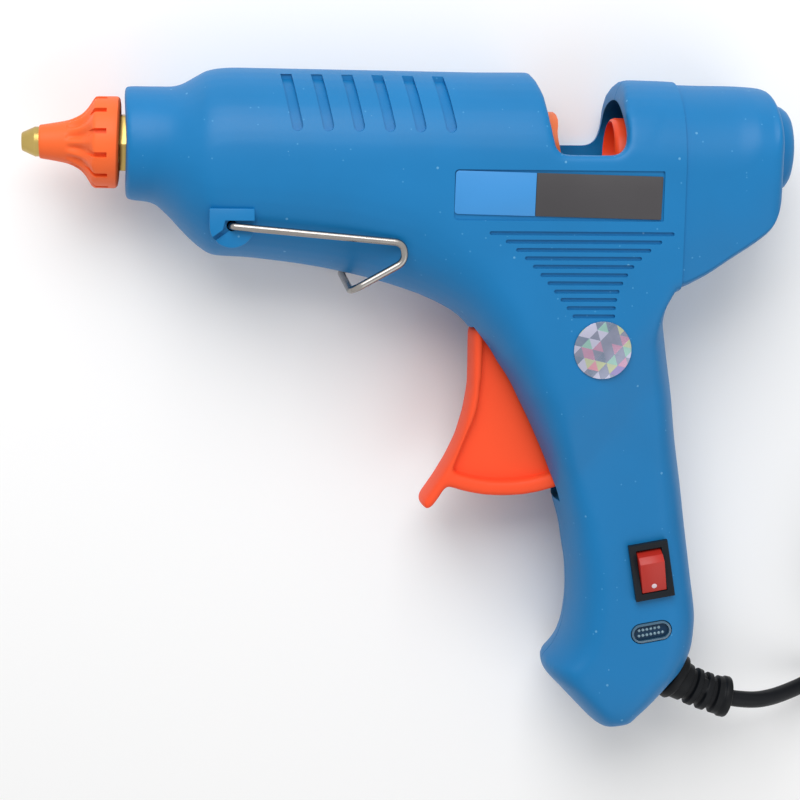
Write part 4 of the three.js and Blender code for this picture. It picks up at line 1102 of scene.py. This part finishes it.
def fluted(bm):
    """Sets the cover askew and presses the hollows in."""
    step = 360 / FLUTES
    for vert in bm.verts:
        height, depth = vert.co.y - AXIS_Y, vert.co.z
        vert.co.x += COVER_ASKEW * height * ease(vert.co.x, *ASKEW_FROM)
        radius = math.hypot(height, depth)
        if radius < COVER_INSIDE + 0.01:
            continue
        turn = math.degrees(math.atan2(height, depth)) - FLUTE_TURN
        across = math.radians((turn + step / 2) % step - step / 2) / FLUTE_WIDTH
        along = ease(vert.co.x, *HOLLOW_FRONT) * (1 - ease(vert.co.x, *HOLLOW_REAR))
        push = HOLLOW * along * math.exp(-across * across)
        vert.co.y -= push * height / radius
        vert.co.z -= push * depth / radius
    return bm


cover = fluted(turned(between(COVER_FLARE, 5) + COVER_REAR, sides=240))
slot_outline = [(x, AXIS_Y + radius) for x, radius in SLOT]
slots = [about_axis(prism(slot_outline, -SLOT_HALF, SLOT_HALF), 90 - FLUTE_TURN - 360 / FLUTES * number)
         for number in range(FLUTES)]
silicone = moulded("orange_silicone", (252, 106, 48), 0.5, 0.05, 0.3)
cover = cut(cover, gathered(*slots))
nozzle_cover = finish("fluted_cover", cover, silicone, "housing", ["nozzle_cover"], 30)
print(f"nozzle cover: {len(nozzle_cover.data.polygons)} faces")


# %% [markdown]
# ## The trigger
# The trigger is a long curved finger rest and an arc-shaped foot, joined by a thinner web that slides into
# the case, with the arm that drives the feed hidden above. The finger rest and the foot are softly rounded,
# so that form is softened like the case, and the rest's front is then crowned: its points move forward in
# the middle and back at the sides. The web meets the rest at a sharp inner corner, so it is joined
# afterwards.

# %% The trigger
TRIGGER_TURN = 22  # degrees of pull
ARM = 31
ARM_TIP_R = 3
ARM_HALF = 3
BLADE_R = 42.5  # bottom edge, about the pivot
BLADE_SPAN = (-111, -68)  # degrees about the pivot
FLANGE = 4.2
WEB_HALF = 4
tip_lean = math.radians(TRIGGER_TURN / 2)
ARM_TIP = (PIVOT[0] + ARM * math.sin(tip_lean), PIVOT[1] + ARM * math.cos(tip_lean))
FINGER_REST = [
    (19.5, 20.6), (18.4, 19), (18.5, 12), (18.5, 4), (17.4, -3), (15.5, -9.8), (12.7, -15.9), (9.6, -21.2),
    (6.9, -25.2), (5.7, -26.9), (6.0, -28.2), (7.3, -28.7), (8.7, -27.8), (10.6, -24.9),
]
REST_INSIDE = [(17.2, -9), (19.2, -4.5), (20.4, -0.5), (21.1, 7.6), (21.4, 20)]
REST_CROWN = 0.9  # from its sides to its middle
WEB_FRONT = [(20.5, 19.5), (20.3, 7.6), (19.5, -0.5), (18.3, -4.5), (16.3, -9.6)]


def crowned(bm):
    """Bulges the faces that look to the front."""
    bm.normal_update()
    for vert in bm.verts:
        vert.co.x += max(-vert.normal.x, 0) * REST_CROWN * ((vert.co.z / TRIGGER_HALF)**2 - 0.5)
    return bm


def trigger_mesh():
    start, end = BLADE_SPAN
    blade = arc(*PIVOT, BLADE_R, start, end, 24) + arc(*PIVOT, BLADE_R - FLANGE, end, start, 24)
    bands = prism(FINGER_REST + blade + REST_INSIDE, -TRIGGER_HALF, TRIGGER_HALF)
    soft = crowned(softened(bands, 0.5, 26))
    web = WEB_FRONT + arc(*PIVOT, BLADE_R - FLANGE + 1.1, start, end - 0.5, 24) + [(33, 17.5), (27.5, 23)]
    solid = joined(
        soft,
        prism(web, -WEB_HALF, WEB_HALF),
        pin(*PIVOT, PIN_R + 1.8, -TRIGGER_HALF, TRIGGER_HALF, 48),
        capsule(PIVOT, ARM_TIP, 2, -ARM_HALF, ARM_HALF),
        pin(*ARM_TIP, ARM_TIP_R, -ARM_HALF, ARM_HALF),
    )
    return cut(solid, pin(*PIVOT, PIN_R + 0.2, -TRIGGER_HALF - 1, TRIGGER_HALF + 1))


orange = moulded("orange_plastic", (255, 86, 48), 0.5, 0.03, 0.15, 0.15)
trigger = finish("trigger_lever", trigger_mesh(), orange, "trigger", ["trigger"])
print(f"trigger: {len(trigger.data.polygons)} faces")


# %% [markdown]
# ## The feed
# Inside the window a carriage slides on the rails. Its ring guides the stick, and a lever hinged on it
# grips the stick when the trigger pulls the carriage forward. The ring is spun with a rounded lip and a
# throat that narrows, so that a stick finds its own way in. The lever is a disc cut to a narrow tongue with
# a thumb's hollow.

# %% The carriage
LEVER_PIN = (40.5, 58.4)
LEVER_PIN_R = 0.9
LEVER_FOOT = 4.9
RING_AT = (54.0, 65.2)  # its front face and the height of its axis
RING_R = 10.2
RING_LINE = [(0, 0), (0, 8.5), (0.25, 9.3), (0.7, 9.9), (1.5, RING_R), (11.5, RING_R - 0.3), (11.5, 0)]
THROAT = [(-0.5, 0), (-0.5, 8.6), (0.6, 8.3), (2.6, 7.4), (5.5, 6.25), (12.5, 6.2), (12.5, 0)]


def carriage_mesh():
    x0, x1, y0, y1, half = (PLATE[key] for key in ("x0", "x1", "y0", "y1", "half"))
    ring_x, ring_y = RING_AT
    gap = ARM_TIP_R + SEAM
    lugs = cut(box(ARM_TIP[0] - gap - 2.8, ARM_TIP[0] + gap + 2.8, y0 - 5.9, y0 + 0.6, -3.6, 3.6),
               box(ARM_TIP[0] - gap, ARM_TIP[0] + gap, y0 - 12, y0, -5, 5))
    inner = LEVER_FOOT + SEAM
    ears = mirrored(box(LEVER_PIN[0] - 3, LEVER_PIN[0] + 3, y1 - 0.6, LEVER_PIN[1] + 1.4, inner, inner + 2.6))
    ring = turned([(ring_x + x, radius) for x, radius in RING_LINE], ring_y, sides=96)
    throat = turned([(ring_x + x, radius) for x, radius in THROAT], AXIS_Y - 1.4, sides=96)
    solid = joined(edged(box(x0, x1, y0, y1, -half, half), 0.4), lugs, ears, ring)
    return cut(solid, throat, pin(*LEVER_PIN, LEVER_PIN_R + 0.2, -9, 9))


deep_orange = moulded("deep_orange_plastic", (240, 76, 36), 0.4, 0.04, 0.15)
carriage = finish("feed_slide", carriage_mesh(), deep_orange, "carriage", ["feed_carriage"])
print(f"carriage: {len(carriage.data.polygons)} faces")

# %% The grip lever
LEVER_R = 9.2
TONGUE = [
    (36.2, 56.7), (36.2, 76.2), (36.8, 77), (38.7, 77), (39.3, 76.2), (39.45, 75), (39.3, 73.6),
    (39.05, 72.2), (39.05, 71), (39.3, 69.4), (39.7, 67.6), (40.1, 65.5), (40.3, 63), (40.3, 56.7),
]
LEVER_X0, LEVER_X1 = TONGUE[0][0], TONGUE[-1][0]
disc = rod(LEVER_X0, LEVER_X1, LEVER_R, sides=96)
foot = box(LEVER_X0, LEVER_X1 - 0.7, LEVER_PIN[1] - 1.7, AXIS_Y - 3.6, -LEVER_FOOT, LEVER_FOOT)
tongue = joined(shared(disc, prism(TONGUE, -10, 10)), foot, pin(*LEVER_PIN, 2, -LEVER_FOOT, LEVER_FOOT))
lever_mesh = cut(tongue, rod(30, 50, 6.3), pin(*LEVER_PIN, LEVER_PIN_R + 0.2, -6, 6))
pale_orange = moulded("pale_orange_plastic", (232, 116, 68), 0.45, 0.04, 0.15)
grip_lever = finish("stick_grip", lever_mesh, pale_orange, "lever", ["grip_lever"])
print(f"grip lever: {len(grip_lever.data.polygons)} faces")


# %% [markdown]
# ## The wire stand
# One length of bright wire is bent into a folding stand. Both its ends turn into the brackets, and the
# cross bar passes under the barrel. A curve with a round bevel keeps the wire's thickness, and each bend is
# a smooth arc between two straight runs.

# %% The wire stand
STAND_SIDE = BRACKET["z1"] + 1.5
LEG = [
    ((*STAND_PIVOT, BRACKET["z0"] + 1.6), 0), ((*STAND_PIVOT, STAND_SIDE), 1.3),
    ((-1.7, 44.35, STAND_SIDE), 2.4), ((-1.2, 39.6, STAND_SIDE), 2.3),
    ((-15.0, 31.8, STAND_SIDE), 4),
]


def bent(corners, steps=10):
    """Points along straight runs whose corners are rounded over a length on both sides."""
    places = [Vector(place) for place, _ in corners]
    line = [places[0]]
    for before, corner, after, (_, bend) in zip(places, places[1:], places[2:], corners[1:]):
        start = corner + (before - corner).normalized() * bend
        end = corner + (after - corner).normalized() * bend
        for step in range(steps + 1):
            t = step / steps
            line.append(start * (1 - t)**2 + corner * 2 * t * (1 - t) + end * t**2)
    return line + [places[-1]]


other_leg = [((x, y, -depth), bend) for (x, y, depth), bend in reversed(LEG)]
stand = curve_object("folding_stand", bent(LEG + other_leg), WIRE_R + 0.05, 6)
stand.data.materials.append(steel)
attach(stand, "stand")
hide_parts("stand_wire")
print(f"stand: {len(stand.data.splines[0].points)} points")


# %% [markdown]
# ## The switch
# A miniature rocker switch snaps into the grip. Its frame slopes in towards the rocker and meets in mitred
# corners, which insetting the top face of a block gives by itself. The rocker is a half disc with a ridge
# on top near one end, turned to one side, and carries a small white spot. It is drawn from the side, where
# its outline is a plain arc and three points, and is then stood up in the frame.

# %% The frame of the switch
BEZEL_HALF, BEZEL_LENGTH = 5.25, 7.7
BEZEL_TOP = GRIP_HALF + 1.9
WELL_HALF, WELL_LENGTH = 3.5, 6.0
BEZEL_STEPS = [(0.35, 0), (0.2, 0), (BEZEL_HALF - 0.55 - WELL_HALF, -0.3)]  # width and fall, inwards
SWITCH_BACK = GRIP_HALF - 11


def top_face(bm):
    """The largest of the highest faces."""
    return [max(bm.faces, key=lambda face: (round(face.calc_center_median().z, 3), face.calc_area()))]


def switch_frame():
    bm = box(-BEZEL_HALF, BEZEL_HALF, -BEZEL_LENGTH, BEZEL_LENGTH, GRIP_HALF + 0.4, BEZEL_TOP)
    for thickness, depth in BEZEL_STEPS:
        bmesh.ops.inset_region(bm, faces=top_face(bm), thickness=thickness, depth=depth)
    barrel = box(-SWITCH_HALF, SWITCH_HALF, -SWITCH_LENGTH, SWITCH_LENGTH, SWITCH_BACK, GRIP_HALF + 0.7)
    well = box(-WELL_HALF, WELL_HALF, -WELL_LENGTH, WELL_LENGTH, SWITCH_BACK + 2, GRIP_HALF + 3)
    return turned_about(cut(joined(bm, barrel), well), SWITCH_AT, GRIP_TURN)


black_plastic = moulded("black_plastic", (20, 25, 31), 0.45, 0.1, 0.2, 0.15)
switch_box = finish("switch_frame", switch_frame(), black_plastic, "housing", ["switch_housing"], 20)
print(f"switch: {len(switch_box.data.polygons)} faces")

# %% The rocker
ROCKER_PIVOT = GRIP_HALF - 0.9
ROCKER_R = 5.7
ROCKER_HALF = 3.3
ROCKER_TURN = 12
ROCKER_TOP = [(5.2, 3.0), (3.9, 4.7), (-5.1, 3.7)]
SPOT_AT, SPOT_R = -3.3, 0.7


def on_rocker(bm):
    """From the rocker's side view into its place in the grip."""
    for degrees, axis in ((ROCKER_TURN, "Z"), (90, "X"), (90, "Z")):
        swung(bm, degrees, axis)
    return turned_about(moved(bm, (0, 0, ROCKER_PIVOT)), SWITCH_AT, GRIP_TURN)


red_plastic = moulded("red_plastic", (184, 44, 34), 0.35, 0.04, 0.1)
rocker_form = edged(prism(arc(0, 0, ROCKER_R, -180, 0, 24) + ROCKER_TOP, -ROCKER_HALF, ROCKER_HALF), 0.2)
rocker = finish("rocker", on_rocker(rocker_form), red_plastic, "rocker", ["switch_rocker"], 25)
print(f"rocker: {len(rocker.data.polygons)} faces")

# %% The spot on the rocker
(ridge_x, ridge_y), (end_x, end_y) = ROCKER_TOP[1:]
fall = (end_y - ridge_y) / (end_x - ridge_x)  # of the face that the spot lies on
spot = swung(edged(pin(0, 0, SPOT_R, -0.1, 0.06, 32), 0.04), -90, "X")
spot = swung(spot, math.degrees(math.atan(fall)), "Z")
spot = moved(spot, (SPOT_AT, ridge_y + fall * (SPOT_AT - ridge_x), 0))
white_paint = moulded("white_paint", (222, 206, 214), 0.5, 0.08, 0.2)
finish("rocker_spot", on_rocker(spot), white_paint, "rocker")
print(f"spot: {2 * SPOT_R} mm across")


# %% [markdown]
# ## The lamp
# The pilot lamp is a clear insert with round ends. Its rim stands up, and inside it lies a dark blue face
# with two rows of small clear blisters that scatter the light. The rim is a block with round ends and a
# smaller one cut out of it, the face is a thin one set inside, and a blister is a flattened sphere.

# %% The lamp
LAMP_TOP = GRIP_HALF + 0.3
LAMP_RIM = 0.6
LAMP_FACE = GRIP_HALF - 0.6  # top of the dark face, on which the blisters sit
BLISTER_R = 0.43
BLISTERS = [(-3.2, 6, 0.78), (-3.4, 7, -0.74)]  # start, number and height of each row
BLISTER_PITCH = 1.08


def stadium(radius, z0, z1):
    return capsule((-LAMP_HALF, 0), (LAMP_HALF, 0), radius, z0, z1, 24)


def blister(x, y):
    bm = bmesh.new()
    place = Matrix.Translation((x, y, LAMP_FACE)) @ Matrix.Diagonal((1, 1, 0.75, 1))
    bmesh.ops.create_uvsphere(bm, u_segments=20, v_segments=12, radius=BLISTER_R, matrix=place)
    return bm


def clear_plastic(name, shade):
    clear = Finish(name, transmission_weight=0.3, ior=1.49, coat_weight=0.15, coat_roughness=0.08)
    haze = clear.noise(300, 3)
    clear.feed("Base Color", clear.mix(haze, tone(shade, 0.85), paint(*shade)))
    clear.feed("Roughness", haze * 0.1 + 0.08)
    return clear.material


def in_lamp(name, bm, material, stands_for=()):
    finish(name, turned_about(bm, LAMP_AT, GRIP_TURN), material, "housing", stands_for)


rim = cut(edged(stadium(LAMP_R, LAMP_TOP - 3.6, LAMP_TOP), 0.2),
          stadium(LAMP_R - LAMP_RIM, GRIP_HALF - 1, GRIP_HALF + 2))
face = stadium(LAMP_R - LAMP_RIM - 0.05, LAMP_FACE - 0.3, LAMP_FACE)
rows_of_blisters = gathered(*[blister(start + number * BLISTER_PITCH, height)
                              for start, count, height in BLISTERS for number in range(count)])
in_lamp("lamp_rim", rim, clear_plastic("clear_rim", (78, 124, 154)), ["lamp_lens"])
in_lamp("lamp_face", face, moulded("dark_face", (12, 46, 72), 0.35, 0.2, 0.2, 0.15))
in_lamp("lamp_blisters", rows_of_blisters, clear_plastic("blisters", (150, 186, 204)))
print(f"lamp: {sum(count for _, count, _ in BLISTERS)} blisters")


# %% [markdown]
# ## Labels and the round seal
# Two thin labels lie in the recess of the left shell, one light blue and one dark grey, both bare. The
# round seal is holographic foil. Its facets are triangles between three sets of lines; each is given a
# chance colour from a ramp of silver, pink, green and violet.

# %% Labels
LABEL_SPLIT = 31.9
LABEL_TOP = HALF_WIDTH - LABEL["depth"] + 0.5
LABEL_TILT = -1.2  # degrees: it was put on by hand
LABEL_HEIGHT = 11


def label(x0, x1, left, right):
    y1 = LABEL["y1"] - 0.3
    outline = rounded(x0, x1, y1 - LABEL_HEIGHT, y1, left, right)
    strip = edged(prism(outline, LABEL_TOP - 0.35, LABEL_TOP), 0.06)
    return swung(strip, LABEL_TILT, "Z", (LABEL["x0"] + 0.3, y1, 0))


light_print = moulded("light_print", (62, 142, 208), 0.42, 0.05, 0.1)
dark_print = moulded("dark_print", (66, 64, 66), 0.45, 0.12, 0.15)
left_strip = label(LABEL["x0"] + 0.3, LABEL_SPLIT - 0.05, 0.9, 0.15)
right_strip = label(LABEL_SPLIT + 0.05, LABEL["x1"] - 0.4, 0.15, 0.3)
finish("left_label", left_strip, light_print, "housing", ["light_label"])
finish("right_label", right_strip, dark_print, "housing", ["dark_label"])
print(f"labels: {LABEL_HEIGHT} mm high, turned by {LABEL_TILT} degrees")

# %% The round seal
STICKER_AT = (50.2, 17.0)
STICKER_R = 7.5
FACET = 2.6
FOIL_COLOURS = [
    (0.0, paint(112, 120, 140)), (0.2, paint(176, 122, 148)), (0.34, paint(92, 110, 130)),
    (0.5, paint(124, 176, 156)), (0.6, paint(176, 176, 196)), (0.74, paint(128, 112, 166)),
    (0.84, paint(196, 124, 136)), (0.93, paint(170, 178, 128)),
]


def foil_finish():
    foil = Finish("holographic_foil", metallic=0.55, coat_weight=0.3)
    numbers = []
    for degrees in (17, 77, 137):
        way = math.radians(degrees)
        along = (math.cos(way) / (FACET * MM), math.sin(way) / (FACET * MM), 0)
        line = foil.node("VectorMath", {"operation": "DOT_PRODUCT"}, {0: foil.place, 1: along}, "Value")
        numbers.append(line.sum("FLOOR", line))
    cell = foil.node("CombineXYZ", None, dict(enumerate(numbers)))
    chance = foil.node("TexWhiteNoise", {"noise_dimensions": "3D"}, {"Vector": cell}, "Value")
    ramp = foil.node("ValToRGB", {"stops": FOIL_COLOURS}, {"Fac": chance}, "Color")
    sheen = foil.noise(420, 2)
    foil.feed("Base Color", foil.mix(sheen * 0.4 + 0.05, ramp, paint(160, 160, 182)))
    foil.feed("Roughness", chance * 0.2 + sheen * 0.1 + 0.15)
    foil.bump(chance, 0.0002, 0.3)
    return foil.material


disc = edged(pin(*STICKER_AT, STICKER_R, HALF_WIDTH + 0.1, HALF_WIDTH + 0.4, 96), 0.08)
seal = finish("round_seal", disc, foil_finish(), "housing", ["round_sticker"])
print(f"seal: {len(seal.data.polygons)} faces, facets of {FACET} mm in its colour")


# %% [markdown]
# ## The strain relief
# The rubber sleeve keeps the lead from breaking where it leaves the grip. It has a collar against the case,
# a plain neck and ribs with slots between them, each slot broken by a bridge on alternate sides. It is spun
# straight, the slots are pressed into its points, and then it is bent a little along its length, because
# the lead pulls the real one towards its own line.

# %% The strain relief
RELIEF_END = 15.6  # from the collar's face
RELIEF_END_R = 5.4
SLEEVE_R, SLEEVE_END_R = RELIEF_R + 0.4, RELIEF_END_R + 0.3
GROOVES_AT = (3.6, 7.0, 10.4)
GROOVE_HALF = 0.6
GROOVE_IN = 0.9
BRIDGES = (-120, 60)  # degrees about the sleeve, in turn
BRIDGE_EDGE = (18, 34)  # degrees from a bridge's middle, over which a slot gets its depth
BRIDGE_IN = 0.35  # share of that depth on a bridge
BEND_FROM, BEND_TO = -31, -12  # degrees, its line at the collar and at the end
BORE = CORD_R + 0.1
COLLAR_LINE = [
    (-COLLAR_LENGTH, BORE), (-COLLAR_LENGTH, COLLAR_R - 0.2), (-COLLAR_LENGTH + 0.2, COLLAR_R),
    (-0.5, COLLAR_R), (-0.1, COLLAR_R - 0.4), (0, COLLAR_R - 0.9), (0.4, BORE),
]
ANCHOR_LINE = [
    (-9.2, BORE), (-9.2, RELIEF_END_R), (-6.5, RELIEF_END_R), (-6.5, RELIEF_NECK_R), (2.6, RELIEF_NECK_R),
    (2.6, BORE),
]


def relief_line(length):
    """Where the bent sleeve's middle line is at a length from the collar, and its lean."""
    bend = (BEND_TO - BEND_FROM) * max(length, 0) / RELIEF_END
    place, steps = Vector((*COLLAR_AT, 0)), 24
    for step in range(steps):
        lean = math.radians(BEND_FROM + bend * (step + 0.5) / steps)
        place += Vector((math.cos(lean), math.sin(lean), 0)) * length / steps
    return place, BEND_FROM + bend


def sleeve_line():
    """The straight sleeve's profile: fine rings, then the thicker end."""
    fine = [(step * 0.2, SLEEVE_R + 0.25 * (1 - ease(step * 0.2, 0, 3))) for step in range(66)]
    end = [(13.3, SLEEVE_R + 0.1), (13.5, SLEEVE_END_R - 0.1), (13.7, SLEEVE_END_R), (15, SLEEVE_END_R),
           (15.4, SLEEVE_END_R - 0.25), (RELIEF_END, SLEEVE_END_R - 0.7), (RELIEF_END, BORE), (0, BORE)]
    return fine + end


def relief_mesh():
    bm = turned(sleeve_line(), 0, sides=96)
    for vert in bm.verts:
        radius = math.hypot(vert.co.y, vert.co.z)
        if radius < RELIEF_NECK_R:
            continue
        turn = math.degrees(math.atan2(vert.co.z, vert.co.y))
        push = 0
        for number, place in enumerate(GROOVES_AT):
            off_bridge = abs((turn - BRIDGES[number % 2] + 180) % 360 - 180)
            depth = BRIDGE_IN + (1 - BRIDGE_IN) * ease(off_bridge, *BRIDGE_EDGE)
            near = 1 - ease(abs(vert.co.x - place), GROOVE_HALF, GROOVE_HALF + 0.35)
            push = max(push, GROOVE_IN * depth * near)
        vert.co.y -= push * vert.co.y / radius
        vert.co.z -= push * vert.co.z / radius
    for vert in bm.verts:
        middle, lean = relief_line(vert.co.x)
        side = Vector((-math.sin(math.radians(lean)), math.cos(math.radians(lean)), 0))
        vert.co = middle + side * vert.co.y + Vector((0, 0, vert.co.z))
    collar = turned_about(turned(COLLAR_LINE, 0, sides=64), COLLAR_AT, COLLAR_LEAN)
    return joined(bm, collar, leaned(turned(ANCHOR_LINE, 0, sides=48)))


relief = finish("cable_sleeve", relief_mesh(), black_rubber, "housing", ["strain_relief"], 45)
print(f"strain relief: {len(relief.data.polygons)} faces")


# %% [markdown]
# ## The plug
# At the lead's far end sits a flat two-pin plug with a waist for the fingers. Its block is softened like
# the case. The pins are round bars with rounded ends, a little thicker over the half next to the plug.

# %% The plug
PLUG_AT = (174.49, -5.5, -14.5)
PLUG_HALF = 6.8
PLUG_LENGTH = 33
PLUG_SIDE = [(4, 0), (5.5, 8), (17.6, 20), (17.6, PLUG_LENGTH)]
PLUG_OUTLINE = PLUG_SIDE + [(-x, y) for x, y in reversed(PLUG_SIDE)]
PIN_LENGTH = 19
PLUG_PINS = (-9.3, 9.3)


def plug_mesh():
    block = prism(PLUG_OUTLINE, -PLUG_HALF, PLUG_HALF)
    ridges = [mirrored(box(-20, 20, y, y + 1, PLUG_HALF - 0.8, PLUG_HALF + 1)) for y in (3, 6, 9, 12)]
    return moved(softened(cut(block, gathered(*ridges)), 0.55, 4), PLUG_AT)


def plug_pin(x):
    line = [(0, 0), (0, 2), (9, 2), (9, 1.85), (PIN_LENGTH - 1, 1.85), (PIN_LENGTH - 0.3, 1.4),
            (PIN_LENGTH, 0.7), (PIN_LENGTH, 0)]
    bm = swung(turned(line, 0, sides=32), 90, "Z")
    return moved(moved(bm, (x, PLUG_LENGTH + SEAM, 0)), PLUG_AT)


plug = finish("plug_block", plug_mesh(), black_plastic, "housing", ["plug_body"])
plug_pins = [finish(f"contact_{number}", plug_pin(x), brass, "housing", [f"plug_pin_{number}"])
             for number, x in enumerate(PLUG_PINS, 1)]
print(f"plug: {len(plug.data.polygons)} faces and {len(plug_pins)} pins")


# %% [markdown]
# ## Pieces kept from the packed model
# Screws, pins, springs, the heating chamber and its plate already have the right shape. They keep their
# meshes and only get real finishes: steel, brass, cast aluminium, ceramic, and glass-fibre sleeving.

# %% Finishes for the kept pieces
def dressed(material, *names):
    for name in names:
        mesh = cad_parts[name].data
        mesh.materials.clear()
        mesh.materials.append(material)


def woven_sleeve():
    sleeve = Finish("glass_fibre", roughness=0.8, sheen_weight=0.2)
    threads = sleeve.cells(2200)
    stain = sleeve.noise(60, 4)
    sleeve.feed("Base Color", sleeve.mix(stain, paint(196, 186, 164), paint(226, 220, 204)))
    sleeve.bump(threads, 0.0001, 0.5)
    return sleeve.material


dressed(steel, "valve_ball", "valve_spring", "return_spring", "heater_clip", "sleeve_ring", "trigger_pin",
        "lever_pin", "clamp_screw_1", "clamp_screw_2", *[f"shell_screw_{n + 1}" for n in range(len(SCREWS))])
dressed(brass, "spring_seat")
dressed(aluminium, "heating_chamber")
dressed(moulded("ceramic", (232, 226, 212), 0.6, 0.04, 0.3), "heater_plate")
dressed(woven_sleeve(), "inlet_sleeve", "lead_1", "lead_2")
dressed(black_plastic, "cord_clamp")
dressed(black_rubber, "cord_tail")
dressed(clear_plastic("bulb_glass", (150, 170, 186)), "lamp_bulb")
print("kept pieces dressed")

# %% [markdown]
# ## Floor, lamps and world
# The gun lies on a white floor in a white room. One large soft lamp above the barrel gives the light a
# direction, so the barrel is a little brighter than the grip, and a weaker one from the other side opens
# the shadows. Together with the world they light a surface so that its colour renders about as it is
# written. Camera and mirror rays see the world at a strength of 1, which is white.

# %% Floor
floor_bm = bmesh.new()
bmesh.ops.create_grid(floor_bm, x_segments=1, y_segments=1, size=3)
floor = new_object("floor", floor_bm)
floor_finish = Finish("white_floor", base_color=(0.98, 0.98, 0.98, 1), roughness=0.9, specular_ior_level=0.1)
floor.data.materials.append(floor_finish.material)
print("floor:", floor.name)

# %% Lamps
def lamp(name, place, energy, size):
    data = bpy.data.lights.new(name, "AREA")
    data.energy = energy
    data.size = size
    thing = bpy.data.objects.new(name, data)
    thing.location = place
    thing.rotation_euler = (-Vector(place)).to_track_quat("-Z", "Y").to_euler()
    bpy.context.scene.collection.objects.link(thing)


lamp("key", (-0.12, 0.58, 0.62), 5.6, 0.6)
lamp("fill", (0.5, -0.5, 0.7), 1.9, 0.8)
print("lamps:", [light.name for light in bpy.data.lights])

# %% World
WORLD_LIGHT = 0.45
world = bpy.data.worlds.new("world")
world.use_nodes = True
nodes, links = world.node_tree.nodes, world.node_tree.links
background = nodes["Background"]
background.inputs["Color"].default_value = (1, 1, 1, 1)
rays = nodes.new("ShaderNodeLightPath")
seen = rays.outputs["Is Camera Ray"]
for kind in ("Is Glossy Ray", "Is Transmission Ray"):
    either = nodes.new("ShaderNodeMath")
    either.operation = "MAXIMUM"
    links.new(seen, either.inputs[0])
    links.new(rays.outputs[kind], either.inputs[1])
    seen = either.outputs[0]
strength = nodes.new("ShaderNodeMath")
strength.operation = "MULTIPLY_ADD"
links.new(seen, strength.inputs[0])
strength.inputs[1].default_value = 1 - WORLD_LIGHT
strength.inputs[2].default_value = WORLD_LIGHT
links.new(strength.outputs[0], background.inputs["Strength"])
bpy.context.scene.world = world
bpy.context.scene.view_settings.view_transform = "Standard"
print(f"world: {WORLD_LIGHT} as light, 1 where it is seen or mirrored")

# %% [markdown]
